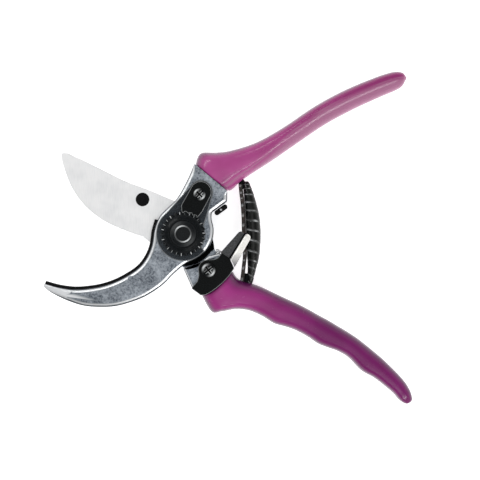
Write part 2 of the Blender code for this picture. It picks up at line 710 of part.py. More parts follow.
def make_locking_segment():
    segment = add_object("locking_segment", prism(segment_outline(), NUT_BOTTOM, NUT_TOP, rim=SHEET_RIM,
                                                  segments=1), black_steel)
    bore(segment, "segment_bore_guide", SEGMENT_SCREW, SMALL_SHANK + GAP, NUT_BOTTOM - CUT_MARGIN,
         NUT_TOP + CUT_MARGIN, 16)
    foot, head = SEGMENT_SCREW_FOOT + GAP, NUT_TOP + GAP
    top = head + SEGMENT_HEAD_RISE
    screw = [(0, foot), (SMALL_SHANK, foot), (SMALL_SHANK, head), (SEGMENT_SCREW_HEAD, head),
             (SEGMENT_SCREW_HEAD, head + HEAD_EDGE), (SEGMENT_SCREW_HEAD - HEAD_CHAMFER, top), (0, top)]
    slotted_screw("segment_screw", screw, SEGMENT_SCREW, top, -45)


def slotted_screw(name, profile, centre, top, angle, parent=None):
    """A screw with a crossed slot in its head."""
    obj = add_object(name, turned(profile, 20, centre), black_steel, parent)
    reach = SEGMENT_SCREW_HEAD - 0.9
    for index in range(2):
        bm = bmesh.new()
        bmesh.ops.create_cube(bm, size=1.0)
        bm.transform(Matrix.Diagonal((2 * reach, SLOT_WIDTH, 2 * SLOT_DEPTH, 1.0)))
        bm.transform(Matrix.Rotation(math.radians(angle + 90 * index), 4, "Z"))
        bm.transform(Matrix.Translation((centre[0], centre[1], top)))
        combine(obj, helper("%s_slot_guide_%d" % (name, index), bm), "DIFFERENCE")


# ---------------------------------------------------------------- pieces of the blade side


def make_blade_handle(pivot):
    block = prism(block_outline(), BLOCK_BOTTOM, HOOK_TOP, rim=BLOCK_RIM, base_rim=BLOCK_RIM)
    obj = add_object("blade_handle", block, aluminium, pivot)
    combine(obj, helper("pivot_disc_guide", prism(disc_outline(), DISC_BOTTOM, DISC_TOP)), "UNION")
    combine(obj, helper("lower_tang_guide", tang(LOWER_STATIONS, FRONT_BOW, LOWER_LIFT, (-2.2, 2.7))), "UNION")
    bore(obj, "disc_bore_guide", (0, 0), BOLT_RADIUS + BUSHING_WALL + 2 * GAP, DISC_BOTTOM - CUT_MARGIN,
         DISC_TOP + CUT_MARGIN, 32)
    for index, centre in enumerate(BLADE_RIVETS):
        bore(obj, "disc_rivet_guide_%d" % index, centre, RIVET_RADIUS + GAP, DISC_BOTTOM - CUT_MARGIN,
             DISC_TOP + CUT_MARGIN, 16)
    bore(obj, "catch_bore_guide", CATCH_AXIS, SMALL_SHANK + GAP, CATCH_SCREW_FOOT, HOOK_TOP + CUT_MARGIN, 16)
    hole = [(0, -STRIKE_DEPTH - GAP), (STRIKE_STEM + GAP, -STRIKE_DEPTH - GAP),
            (STRIKE_STEM + GAP, CUT_MARGIN), (0, CUT_MARGIN)]
    combine(obj, helper("strike_bore_guide", along(turned(hole, 12), strike_base(), strike_way())),
            "DIFFERENCE")
    combine(obj, helper("lower_peg_guide", spring_peg(1, GAP)), "DIFFERENCE")


def strike_base():
    return Vector((STRIKE_POINT[0], STRIKE_POINT[1], BUMPER_MIDDLE + 2.0))


def strike_way():
    return Vector((STRIKE_DIRECTION[0], STRIKE_DIRECTION[1], 0))


def make_strike_stud(pivot):
    """A small steel button that meets the rubber pad when the shears close."""
    seat = GAP
    profile = [(0, -STRIKE_DEPTH), (STRIKE_STEM, -STRIKE_DEPTH), (STRIKE_STEM, seat), (STRIKE_HEAD, seat),
               (STRIKE_HEAD, STRIKE_PROUD - CHAMFER), (STRIKE_HEAD - CHAMFER, STRIKE_PROUD), (0, STRIKE_PROUD)]
    add_object("strike_stud", along(turned(profile, 14), strike_base(), strike_way()), rivet_steel, pivot)


def make_cutting_blade(pivot):
    obj = add_object("cutting_blade", ground_blade(), blade_steel, pivot)
    bore(obj, "blade_bore_guide", (0, 0), BOLT_RADIUS + BUSHING_WALL + 2 * GAP, BLADE_BOTTOM - CUT_MARGIN,
         BLADE_TOP + CUT_MARGIN, 32)
    bore(obj, "stud_bore_guide", jaw([STUD_CENTRE])[0], STUD_RADIUS - STUD_STEP + GAP, BLADE_BOTTOM - CUT_MARGIN,
         BLADE_TOP + CUT_MARGIN, 24)
    for index, centre in enumerate(BLADE_RIVETS):
        bore(obj, "heel_rivet_guide_%d" % index, centre, RIVET_RADIUS + GAP, BLADE_BOTTOM - CUT_MARGIN,
             BLADE_TOP + CUT_MARGIN, 16)


def make_blade_small_pieces(pivot):
    centre = jaw([STUD_CENTRE])[0]
    face, seat, shank = BLADE_BOTTOM - STUD_FACE, BLADE_BOTTOM - GAP, STUD_RADIUS - STUD_STEP
    stud = [(0, face), (STUD_RADIUS - CHAMFER, face), (STUD_RADIUS, face + 0.3), (STUD_RADIUS, seat),
            (shank, seat), (shank, BLADE_TOP), (0, BLADE_TOP)]
    add_object("blade_stud", turned(stud, 24, centre), black_plastic, pivot)
    for name, place in zip(("blade_rivet_lower", "blade_rivet_left"), BLADE_RIVETS):
        profile = [(0, DISC_BOTTOM), (RIVET_RADIUS, DISC_BOTTOM), (RIVET_RADIUS, BLADE_TOP), (0, BLADE_TOP)]
        add_object(name, turned(profile, 14, place), rivet_steel, pivot)
    inner = BOLT_RADIUS + GAP
    bushing = [(inner, DISC_BOTTOM), (inner + BUSHING_WALL, DISC_BOTTOM), (inner + BUSHING_WALL, BLADE_TOP),
               (inner, BLADE_TOP)]
    add_object("pivot_bushing", turned(bushing, 32), bronze, pivot)
    rim, top = HEAD_RADIUS - CHAMFER, WASHER_BOTTOM + WASHER_THICKNESS
    washer = [(inner, WASHER_BOTTOM), (rim, WASHER_BOTTOM), (rim, top), (inner, top)]
    add_object("pivot_washer", turned(washer, 32), black_plastic, pivot)


def make_lower_grip(pivot):
    obj = add_object("lower_grip", grip(LOWER_STATIONS, FRONT_BOW, LOWER_LIFT, 2), lower_vinyl, pivot, smooth=60)
    combine(obj, helper("lower_grip_peg_guide", spring_peg(1, GAP)), "DIFFERENCE")


def make_thumb_catch(pivot):
    """A plate that turns on its screw, with a folded lever that the thumb pushes."""
    origin = (CATCH_AXIS[0], CATCH_AXIS[1], 0.0)
    plate = prism(catch_outline(), CATCH_BOTTOM, CATCH_TOP, rim=SHEET_RIM, segments=1)
    obj = add_object("thumb_catch", plate, black_steel, pivot, origin)
    ridge_low, ridge_high = CATCH_TOP + 3.2, CATCH_TOP + 2.4
    corners = [(19.0, -9.0, CATCH_BOTTOM), (27.9, 2.3, CATCH_BOTTOM + 0.8), (32.9, -0.2, CATCH_BOTTOM + 0.8),
               (33.5, -2.0, CATCH_BOTTOM + 0.8), (25.2, -16.6, CATCH_BOTTOM), (20.2, -15.4, CATCH_BOTTOM),
               (19.0, -9.4, CATCH_TOP - 0.2), (27.9, 2.3, CATCH_TOP + 0.2), (31.2, 0.6, ridge_high),
               (23.2, -12.2, ridge_low), (32.9, -0.2, CATCH_TOP + 0.6), (33.5, -2.0, CATCH_BOTTOM + 1.4),
               (25.2, -16.6, CATCH_BOTTOM + 0.6), (20.2, -15.4, CATCH_TOP - 0.2)]
    lever = bmesh.new()
    for corner in corners:
        lever.verts.new(corner)
    bmesh.ops.convex_hull(lever, input=lever.verts)
    loose = [v for v in lever.verts if not v.link_faces]
    bmesh.ops.delete(lever, geom=loose, context="VERTS")
    combine(obj, helper("lever_guide", lever), "UNION")
    bore(obj, "catch_hole_guide", CATCH_AXIS, SMALL_SHANK + GAP, CATCH_BOTTOM - CUT_MARGIN,
         CATCH_TOP + CUT_MARGIN, 16)


def make_catch_fasteners(pivot):
    washer_low = CATCH_TOP + GAP
    inner = SMALL_SHANK + GAP
    rim, raised = CATCH_SCREW_HEAD + 0.3, washer_low + SPRING_WASHER_DISH
    washer = [(inner, washer_low), (rim, raised), (rim, raised + SPRING_WASHER_SHEET),
              (inner, washer_low + SPRING_WASHER_SHEET)]
    add_object("catch_spring_washer", turned(washer, 24, CATCH_AXIS), black_steel, pivot)
    foot, head = CATCH_SCREW_FOOT + GAP, raised + SPRING_WASHER_SHEET + GAP
    top = head + CATCH_HEAD_RISE
    screw = [(0, foot), (SMALL_SHANK, foot), (SMALL_SHANK, head), (CATCH_SCREW_HEAD, head),
             (CATCH_SCREW_HEAD, head + HEAD_EDGE), (CATCH_SCREW_HEAD - 0.6, top), (0, top)]
    slotted_screw("catch_screw", screw, CATCH_AXIS, top, -52, pivot)


# ---------------------------------------------------------------- spring

# Down the bowed centre line: plan place and outer radius
SPRING_LINE = ((29.3, 25.2, 3.0), (31.6, 20.0, 3.4), (32.5, 14.0, 4.2), (33.3, 8.0, 4.8), (33.7, 1.0, 4.9),
               (33.5, -6.0, 4.7), (32.9, -12.0, 4.3), (32.1, -17.5, 3.8), (31.2, -22.3, 3.0))
SPRING_TURNS = 12
PEG_WAYS = ((-0.56, 0.83), (-0.9, -4.8))      # directions of the upper and the lower peg, into the grips


def spring_peg(end, extra):
    """A peg that holds one end of the spring: 0 is the upper one, 1 the lower one."""
    start = SPRING_LINE[-end]
    base = Vector((start[0], start[1], GRIP_MIDDLE))
    radius, low, high = PEG_RADIUS + extra, -PEG_INSIDE - extra, PEG_LENGTH + extra
    profile = [(0, low), (radius - CHAMFER, low), (radius, low + CHAMFER), (radius, high), (0, high)]
    return along(turned(profile, 14), base, (*PEG_WAYS[end], 0))


def make_spring():
    """A flat strip wound to a barrel shape and bowed away from the pivot."""
    line = spline(SPRING_LINE, 12)
    per_turn = 14
    steps = SPRING_TURNS * per_turn
    pitch = (SPRING_LINE[0][1] - SPRING_LINE[-1][1]) / SPRING_TURNS
    half_strip = pitch * 0.36
    rings = []
    for index in range(steps + 1):
        share = (0.02 + 0.96 * index / steps) * (len(line) - 1)
        low = min(int(share), len(line) - 2)
        here = line[low].lerp(line[low + 1], share - low)
        ahead = line[low + 1] - line[low]
        way = Vector((ahead[0], ahead[1], 0)).normalized()
        side = Vector((way.y, -way.x, 0))
        angle = 2 * math.pi * index / per_turn
        outward = side * math.cos(angle) + Vector((0, 0, 1)) * math.sin(angle)
        centre = Vector((here[0], here[1], GRIP_MIDDLE))
        ring = []
        for radial, axial in ((0, -1), (0, 1), (-1, 1), (-1, -1)):
            radius = here[2] + radial * STRIP_THICKNESS
            ring.append(centre + outward * radius + way * (axial * half_strip))
        rings.append(ring)
    add_object("volute_spring", skin(rings), spring_steel, smooth=50)


# ---------------------------------------------------------------- build

for old in list(bpy.data.objects):
    bpy.data.objects.remove(old, do_unlink=True)

guide_material = material("guide", "FF8800", 0.5, 0.0)
aluminium = material("forged_aluminium", "A9AFB6", 0.32, 1.0)
hard_steel = material("hardened_steel", "3C3F42", 0.35, 1.0)
blade_steel = material("ground_steel", "D9DADB", 0.3, 1.0)
rivet_steel = material("rivet_steel", "B8BABC", 0.35, 1.0)
black_steel = material("blackened_steel", "1B1D1E", 0.4, 0.6)
spring_steel = material("spring_steel", "1E1D1C", 0.25, 0.9)
bronze = material("bearing_bronze", "9A7B4C", 0.4, 1.0)
black_rubber = material("black_rubber", "151515", 0.7, 0.0)
black_plastic = material("black_plastic", "1A1A1B", 0.45, 0.0)
upper_vinyl = material("dipped_vinyl_upper", "A8478A", 0.25, 0.0)
lower_vinyl = material("dipped_vinyl_lower", "8A3474", 0.25, 0.0)

blade_pivot = bpy.data.objects.new("blade_pivot", None)
bpy.context.collection.objects.link(blade_pivot)

make_hook_handle()
make_counter_blade()
make_counter_rivets()
make_upper_grip()
make_bumper()
make_pivot_stack()
make_locking_segment()
add_object("upper_spring_peg", spring_peg(0, 0.0), rivet_steel)

make_blade_handle(blade_pivot)
make_cutting_blade(blade_pivot)
make_blade_small_pieces(blade_pivot)
make_lower_grip(blade_pivot)
make_strike_stud(blade_pivot)
make_thumb_catch(blade_pivot)
make_catch_fasteners(blade_pivot)
add_object("lower_spring_peg", spring_peg(1, 0.0), rivet_steel, blade_pivot)
make_spring()
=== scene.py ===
import math

import bpy
import numpy as np
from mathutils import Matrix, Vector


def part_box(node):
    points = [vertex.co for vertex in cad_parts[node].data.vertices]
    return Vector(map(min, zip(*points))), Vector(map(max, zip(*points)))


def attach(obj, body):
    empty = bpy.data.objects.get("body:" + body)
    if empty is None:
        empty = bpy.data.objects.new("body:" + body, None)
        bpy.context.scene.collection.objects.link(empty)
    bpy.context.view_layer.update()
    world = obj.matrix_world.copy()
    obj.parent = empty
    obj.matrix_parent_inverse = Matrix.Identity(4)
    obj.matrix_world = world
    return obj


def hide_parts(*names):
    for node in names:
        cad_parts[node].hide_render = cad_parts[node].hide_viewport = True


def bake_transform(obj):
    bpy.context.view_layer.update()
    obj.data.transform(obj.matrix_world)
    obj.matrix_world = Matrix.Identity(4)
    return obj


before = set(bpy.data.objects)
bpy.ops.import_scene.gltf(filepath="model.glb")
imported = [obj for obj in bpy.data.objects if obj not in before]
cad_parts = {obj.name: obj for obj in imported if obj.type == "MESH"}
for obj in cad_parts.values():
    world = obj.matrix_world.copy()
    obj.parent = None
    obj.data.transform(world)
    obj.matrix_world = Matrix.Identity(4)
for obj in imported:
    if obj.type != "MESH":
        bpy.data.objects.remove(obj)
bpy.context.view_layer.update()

print("frame loaded:", len(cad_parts), "CAD nodes")


def low(node, axis=2):
    # lowest value of a CAD node on one axis, in millimetres
    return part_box(node)[0][axis] * 1000


def high(node, axis=2):
    # highest value of a CAD node on one axis, in millimetres
    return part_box(node)[1][axis] * 1000


def middleOf(node):
    # plan centre of a CAD node, in millimetres
    return ((low(node, 0) + high(node, 0)) / 2, (low(node, 1) + high(node, 1)) / 2)


# ---- curves in plan, in millimetres

def smoothRows(points, perSpan):
    # Catmull-Rom: between two points each value is the cubic of the four points round them
    rows = np.asarray(points, float)
    rows = np.vstack([2 * rows[0] - rows[1], rows, 2 * rows[-1] - rows[-2]])
    a, b, c, d = (rows[k:len(rows) - 3 + k, None, :] for k in range(4))
    t = (np.arange(perSpan) / perSpan)[None, :, None]
    out = 0.5 * (2 * b + (c - a) * t + (2 * a - 5 * b + 4 * c - d) * t ** 2
                 + (3 * b - a - 3 * c + d) * t ** 3)
    return np.vstack([out.reshape(-1, rows.shape[1]), rows[-2]])


def arcRun(centre, radius, start, end, steps):
    # centre plus radius times cosine and sine of evenly spaced angles, in degrees
    angle = np.radians(np.linspace(start, end, steps + 1))
    return np.stack([centre[0] + radius * np.cos(angle), centre[1] + radius * np.sin(angle)], 1)


def unit(rows):
    # each row divided by its own length
    return rows / np.maximum(np.linalg.norm(rows, axis=-1, keepdims=True), 1e-9)


def leftOf(rows):
    # a plan vector turned a quarter anticlockwise: (-y, x)
    return np.stack([-rows[..., 1], rows[..., 0]], -1)


def sideOffset(points, distance):
    # each point plus distance times the left normal of the line through its two neighbours
    ahead = np.gradient(points, axis=0)
    return points + leftOf(unit(ahead)) * np.reshape(distance, (-1, 1))


def closedOutline(runs, spacing, soften=0):
    # runs joined end to end, sampled again at even steps, anticlockwise; soften averages neighbours
    points = np.vstack([np.asarray(run, float) for run in runs])
    points = np.vstack([points, points[:1]])
    steps = np.linalg.norm(np.diff(points, axis=0), axis=1)
    points = points[np.r_[True, steps > 0.01]]
    length = np.r_[0, np.cumsum(np.linalg.norm(np.diff(points, axis=0), axis=1))]
    count = int(round(length[-1] / spacing))
    at = np.arange(count) * length[-1] / count
    out = np.stack([np.interp(at, length, points[:, k]) for k in (0, 1)], 1)
    ahead = np.roll(out, -1, 0)
    if (out[:, 0] * ahead[:, 1] - out[:, 1] * ahead[:, 0]).sum() < 0:
        out = out[::-1]
    for _ in range(soften):
        out = (np.roll(out, 1, 0) + 2 * out + np.roll(out, -1, 0)) / 4
    return out


def crossOf(a, b):
    # plan cross product: ax by - ay bx
    return a[..., 0] * b[..., 1] - a[..., 1] * b[..., 0]


def insetWay(outline, distance):
    # inward mitre at each point, no longer than a third of the ray to the far side,
    # and never changing by more than 0.4 of the way along the outline
    count = len(outline)
    mean = unit(outline - np.roll(outline, 1, 0)) + unit(np.roll(outline, -1, 0) - outline)
    inward = unit(leftOf(mean))
    limit = distance / np.maximum(0.5, np.linalg.norm(mean, axis=1) / 2)
    edge = (np.roll(outline, -1, 0) - outline)[None]
    start = outline[None] - outline[:, None]
    slope = crossOf(inward[:, None], edge)
    slope = np.where(np.abs(slope) < 1e-9, 1e-9, slope)
    reach = crossOf(start, edge) / slope
    share = crossOf(start, np.broadcast_to(inward[:, None], start.shape)) / slope
    own = (np.arange(count)[None] - np.arange(count)[:, None]) % count
    hit = (reach > 1e-6) & (share >= 0) & (share <= 1) & (own != 0) & (own != count - 1)
    limit = np.minimum(limit, np.where(hit, reach * 0.3, 1e9).min(1))
    along = np.r_[0, np.cumsum(np.linalg.norm(np.diff(outline, axis=0), axis=1))]
    total = along[-1] + np.linalg.norm(outline[0] - outline[-1])
    apart = np.abs(along[:, None] - along[None])
    apart = np.minimum(apart, total - apart)
    limit = (limit[None] + 0.4 * apart).min(1)
    return inward * limit[:, None]


def plateRings(outline, bottom, top, rim, drop, baseRim=0.2, steps=7, keep=None):
    # rings of an outline from the bottom up; the rim is a quarter ellipse, rim wide and drop high;
    # keep is a share of the rim's size at each point
    way = insetWay(outline, max(rim, baseRim))
    keep = np.ones(len(outline)) if keep is None else keep
    way = way * keep[:, None]
    shares, heights = [], []
    turn = np.linspace(0, math.pi / 2, 4)
    shares += list((1 - np.sin(turn)) * baseRim / max(rim, baseRim))
    heights += list(bottom + baseRim * (1 - np.cos(turn)))
    turn = np.linspace(0, math.pi / 2, steps + 1)
    shares += list((1 - np.cos(turn)) * rim / max(rim, baseRim))
    heights += list(top - drop * (1 - np.sin(turn)))
    shares = [shares[0] * 1.1 + 0.05] + shares + [shares[-1] * 1.06 + 0.02]
    heights = [bottom] + heights + [top]
    plan = outline[None] + way[None] * np.array(shares)[:, None, None]
    heights = np.array(heights)[:, None]
    level = np.where(heights > top - drop - 0.001, top - (top - heights) * keep[None], heights)
    return np.concatenate([plan, level[..., None]], 2)


def rimShares(rings, steps=7):
    # 1 on the walls, falling to 0 across the rim with the cosine of its turn, as seen from above
    share = np.ones(len(rings))
    share[-steps - 2:-1] = np.cos(np.linspace(0, math.pi / 2, steps + 1))
    share[-1] = 0
    return share


def endFade(outline, stations, reach):
    # 0.08 at the line of a grip's front edge, 1 at reach millimetres before it
    outer, inner = stations[0, :2], stations[0, 2:4]
    back = leftOf(unit(inner - outer))
    back = back * (-1 if back @ (outer + inner) > 0 else 1)
    share = np.clip(((outline - outer) @ back) / reach, 0, 1)
    return 0.08 + 0.92 * share ** 2 * (3 - 2 * share)


def polarRings(radius, height, count, centre):
    # a ring for each radius and height pair; both may be rows or tables with one value per angle
    angle = np.arange(count) * 2 * math.pi / count
    radius = np.asarray(radius, float).reshape(len(radius), -1) * np.ones((1, count))
    height = np.asarray(height, float).reshape(len(height), -1) * np.ones((1, count))
    return np.stack([centre[0] + radius * np.cos(angle), centre[1] + radius * np.sin(angle), height], 2)


def signedVolume(rings):
    # a sixth of the sum over all triangles of first corner times (second x third): side quads are split
    # in two, each end is a fan from its middle; below zero when the faces look inward
    ahead = np.roll(rings, -1, 1)
    total = (rings[:-1] * (np.cross(ahead[:-1], ahead[1:]) + np.cross(ahead[1:], rings[1:]))).sum()
    for ring, way in ((rings[0], -1), (rings[-1], 1)):
        total += way * (np.cross(ring, np.roll(ring, -1, 0)) @ ring.mean(0)).sum()
    return total / 6


def makePiece(name, shells, material, body, stands=(), sharp=34, shares=None):
    # shells are ring tables (ring, point, xyz): quads join ring to ring, a face closes each end, and a
    # shell that looks inward is turned; shares hold edgeShare per ring or per point, for the material
    verts, faces, values, base = [], [], [], 0
    for index, rings in enumerate(shells):
        ringCount, count = rings.shape[:2]
        turn = 1 if signedVolume(rings) > 0 else -1
        rings = rings[::turn]
        i = np.arange(count)
        low, j = (np.arange(ringCount - 1) * count)[:, None] + base, (i + 1) % count
        quads = np.stack([low + i, low + j, low + count + j, low + count + i], 2).reshape(-1, 4)
        faces += quads.tolist()
        faces.append((base + i[::-1]).tolist())
        faces.append((base + (ringCount - 1) * count + i).tolist())
        verts.append(rings.reshape(-1, 3))
        share = shares[index] if shares is not None else np.zeros(ringCount)
        share = np.broadcast_to(np.reshape(share, (ringCount, -1)), (ringCount, count))
        values.append(share[::turn].ravel())
        base += ringCount * count
    mesh = bpy.data.meshes.new(name)
    mesh.from_pydata((np.vstack(verts) * 0.001).tolist(), [], faces)
    mesh.update()
    mesh.shade_smooth()
    mesh.set_sharp_from_angle(angle=math.radians(sharp))
    edgeShare = mesh.attributes.new("edgeShare", "FLOAT", "POINT")
    edgeShare.data.foreach_set("value", np.concatenate(values).astype(np.float32))
    mesh.materials.append(material)
    piece = bpy.data.objects.new(name, mesh)
    bpy.context.collection.objects.link(piece)
    if body:
        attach(piece, body)
    if stands:
        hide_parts(*stands)
    return piece


# ---- materials

def srgb(text):
    # linear colour of a hex sRGB value
    value = np.array([int(text[k:k + 2], 16) for k in (1, 3, 5)]) / 255
    linear = np.where(value <= 0.04045, value / 12.92, ((value + 0.055) / 1.055) ** 2.4)
    return (*linear.tolist(), 1.0)


def addNode(tree, kind, inputs=None, **settings):
    # one node: its settings, then each input as a value or as a link from another node's socket
    node = tree.nodes.new("ShaderNode" + kind)
    for key, value in settings.items():
        setattr(node, key, value)
    for key, value in (inputs or {}).items():
        if isinstance(value, bpy.types.NodeSocket):
            tree.links.new(value, node.inputs[key])
        else:
            node.inputs[key].default_value = value
    return node


def newMaterial(name, **fixed):
    # a Principled material; fixed values go straight on its sockets
    material = bpy.data.materials.new(name)
    material.use_nodes = True
    tree = material.node_tree
    shader = tree.nodes["Principled BSDF"]
    for key, value in fixed.items():
        shader.inputs[key.replace("_", " ")].default_value = value
    place = addNode(tree, "TexCoord").outputs["Object"]
    return material, tree, shader, place


def ofSize(millimetres):
    # noise scale for a pattern of this real size, on coordinates in metres
    return 1000.0 / millimetres


def grain(tree, place, size, detail=3.0, roughness=0.55):
    # noise whose blotches are about this many millimetres wide
    return addNode(tree, "TexNoise", {"Vector": place, "Scale": ofSize(size), "Detail": detail,
                                      "Roughness": roughness}).outputs["Fac"]


def ramp(tree, value, *stops):
    # a colour ramp of (position, hex colour or grey level) stops
    node = addNode(tree, "ValToRGB", {"Fac": value})
    elements = node.color_ramp.elements
    while len(elements) < len(stops):
        elements.new(0.5)
    for element, (position, colour) in zip(elements, stops):
        element.position = position
        element.color = srgb(colour) if isinstance(colour, str) else (colour, colour, colour, 1.0)
    return node.outputs["Color"]


def mixed(tree, share, first, second, kind="MIX"):
    # first at share 0, second at share 1; each may be a value or a socket
    node = addNode(tree, "Mix", data_type="RGBA", blend_type=kind)
    for socket, value in zip((node.inputs[0], node.inputs[6], node.inputs[7]), (share, first, second)):
        if isinstance(value, bpy.types.NodeSocket):
            tree.links.new(value, socket)
        else:
            socket.default_value = value
    return node.outputs[2]


def bumped(tree, shader, height, distance, strength=1.0):
    # relief from a height of 0 to 1, distance in millimetres
    bump = addNode(tree, "Bump", {"Height": height, "Distance": distance * 0.001, "Strength": strength})
    tree.links.new(bump.outputs["Normal"], shader.inputs["Normal"])


def forgedAluminiumMaterial():
    # drop-forged aluminium, tumbled: cloudy grey flats with fine pits, and bright burnished edges that also
    # carry a painted highlight and a painted dark outer line
    look = {"dark": "#444B54", "light": "#B2B9C1", "edge": "#E9EBED", "line": "#7D848B", "outer": "#3C4146",
            "wall": "#8F959B", "cloud": 9.0, "mottle": 1.1}
    material, tree, shader, place = newMaterial("tumbledForgedAluminium", Metallic=1.0)
    cloud = grain(tree, place, look["cloud"], 2.0)
    mottle = grain(tree, place, look["mottle"], 5.0, 0.78)
    both = addNode(tree, "Math", {0: mottle, 1: 2.0, 2: cloud}, operation="MULTIPLY_ADD").outputs[0]
    third = addNode(tree, "Math", {0: both, 1: 1 / 3}, operation="MULTIPLY").outputs[0]
    flats = ramp(tree, third, (0.38, look["dark"]), (0.62, look["light"]))
    # across a rim, from the flat (0) to the wall (1): a painted grey line, the burnished crown with a
    # painted highlight, a painted dark outer line that stands for reflected shade
    edge = addNode(tree, "Attribute", attribute_name="edgeShare").outputs["Fac"]
    burnishAndHighlight = ramp(tree, edge, (0.02, 0.0), (0.2, 1.0))
    rim = ramp(tree, edge, (0.1, look["line"]), (0.34, look["edge"]), (0.68, look["edge"]),
               (0.82, look["outer"]), (0.97, look["outer"]), (1.0, look["wall"]))
    tree.links.new(mixed(tree, burnishAndHighlight, flats, rim), shader.inputs["Base Color"])
    rough = ramp(tree, mottle, (0.3, 0.24), (0.7, 0.42))
    tree.links.new(mixed(tree, burnishAndHighlight, rough, (0.34, 0.34, 0.34, 1)), shader.inputs["Roughness"])
    bumped(tree, shader, grain(tree, place, 0.7, 3.0, 0.6), 0.05, 0.6)
    return material


def groundSteelMaterial():
    # carbon steel ground on a belt: near-white satin with fine lines across the blade
    look = {"base": "#FFFFFF", "line": "#EEEFF0", "heelShade": "#0A0B0C", "lineWidth": 0.35}
    material, tree, shader, place = newMaterial("beltGroundSteel", Metallic=1.0)
    turned = addNode(tree, "Mapping", {"Vector": place, "Rotation": (0, 0, math.radians(8)),
                                       "Scale": (1.0, 0.06, 1.0)}).outputs[0]
    lines = grain(tree, turned, look["lineWidth"], 3.0, 0.6)
    cloud = grain(tree, place, 9.0, 2.0)
    colour = ramp(tree, lines, (0.3, look["line"]), (0.7, look["base"]))
    colour = mixed(tree, 0.5, colour, ramp(tree, cloud, (0.35, look["line"]), (0.6, look["base"])))
    # the heel round the pivot is painted black on the side that turns under the body: painted shade where
    # the heel lies deep in the gap
    parts = addNode(tree, "SeparateXYZ", {"Vector": place}).outputs
    slant = addNode(tree, "Math", {0: parts[0], 1: 0.0045}, operation="ADD").outputs[0]
    heelShade = ramp(tree, addNode(tree, "Math", {0: slant, 1: 1000.0}, operation="MULTIPLY").outputs[0],
                (0.0, 0.0), (0.9, 1.0))
    tree.links.new(mixed(tree, heelShade, colour, srgb(look["heelShade"])), shader.inputs["Base Color"])
    tree.links.new(mixed(tree, heelShade, (0.42, 0.42, 0.42, 1), (0.6, 0.6, 0.6, 1)), shader.inputs["Roughness"])
    bumped(tree, shader, lines, 0.01, 0.5)
    return material


def blackenedSteelMaterial(name, dark, light, roughness, pit, gloss=0.4):
    # blackened steel: near black with a faint cool cast and small pits; painted highlights lighten it where
    # edgeShare is above 0, and painted shade makes it near black deep in a slot, where it is below 0
    material, tree, shader, place = newMaterial(name, Metallic=0.0, Specular_IOR_Level=gloss)
    mottle = grain(tree, place, pit, 4.0, 0.65)
    flats = ramp(tree, mottle, (0.35, dark), (0.7, light))
    edge = addNode(tree, "Attribute", attribute_name="edgeShare").outputs["Fac"]
    paintedSlotShade = addNode(tree, "Math", {0: edge, 1: -1.0}, operation="MULTIPLY", use_clamp=True).outputs[0]
    paintedHighlightShare = addNode(tree, "Math", {0: edge, 1: 1.0}, operation="MULTIPLY", use_clamp=True).outputs[0]
    colour = mixed(tree, paintedHighlightShare, mixed(tree, paintedSlotShade, flats, srgb("#010101")), srgb("#D8DBDC"))
    tree.links.new(colour, shader.inputs["Base Color"])
    rough = ramp(tree, mottle, (0.3, roughness - 0.08), (0.7, roughness + 0.08))
    tree.links.new(rough, shader.inputs["Roughness"])
    bumped(tree, shader, mottle, 0.03, 0.5)
    return material


def vinylMaterial(name, front, back, side, paintedLightColour, gloss):
    # dipped vinyl coat: glossy skin over a soft body, deeper in colour towards the dipped end; painted shade
    # at the sides (edgeShare above 0) and painted light on one facet and the ridge (below 0); faintly uneven
    # where it ran
    material, tree, shader, place = newMaterial(name, IOR=1.5, Specular_IOR_Level=gloss, Metallic=0.0)
    reach = addNode(tree, "VectorMath", {0: place}, operation="LENGTH").outputs["Value"]
    share = addNode(tree, "MapRange", {0: reach, 1: 0.025, 2: 0.085}).outputs[0]
    colour = mixed(tree, share, srgb(front), srgb(back))
    cloud = ramp(tree, grain(tree, place, 14.0, 2.0), (0.3, "#E9E0E6"), (0.7, "#FFFFFF"))
    colour = mixed(tree, 1.0, colour, cloud, "MULTIPLY")
    edge = addNode(tree, "Attribute", attribute_name="edgeShare").outputs["Fac"]
    below = addNode(tree, "Math", {0: edge, 1: -1.0}, operation="MULTIPLY", use_clamp=True).outputs[0]
    above = addNode(tree, "Math", {0: edge, 1: 1.0}, operation="MULTIPLY", use_clamp=True).outputs[0]
    colour = mixed(tree, above, mixed(tree, below, colour, srgb(paintedLightColour)), srgb(side))
    tree.links.new(colour, shader.inputs["Base Color"])
    rough = ramp(tree, grain(tree, place, 2.5, 3.0), (0.3, 0.2), (0.7, 0.28))
    tree.links.new(rough, shader.inputs["Roughness"])
    bumped(tree, shader, grain(tree, place, 5.0, 2.0), 0.08, 0.25)
    return material


def plainSteelMaterial(name, base, spot, roughness, root=None):
    # turned or plated steel: light grey with fine wear, darker grey below the first of two values of Y at a
    # root and blending back by the second
    material, tree, shader, place = newMaterial(name, Metallic=1.0)
    mottle = grain(tree, place, 0.8, 3.0)
    colour = ramp(tree, mottle, (0.3, spot), (0.65, base))
    if root:
        parts = addNode(tree, "SeparateXYZ", {"Vector": place}).outputs
        pastRoot = addNode(tree, "MapRange", {0: parts[1], 1: root[0], 2: root[1]}).outputs[0]
        colour = mixed(tree, pastRoot, srgb("#77777A"), colour)
    tree.links.new(colour, shader.inputs["Base Color"])
    tree.links.new(ramp(tree, mottle, (0.3, roughness), (0.7, roughness + 0.1)), shader.inputs["Roughness"])
    return material


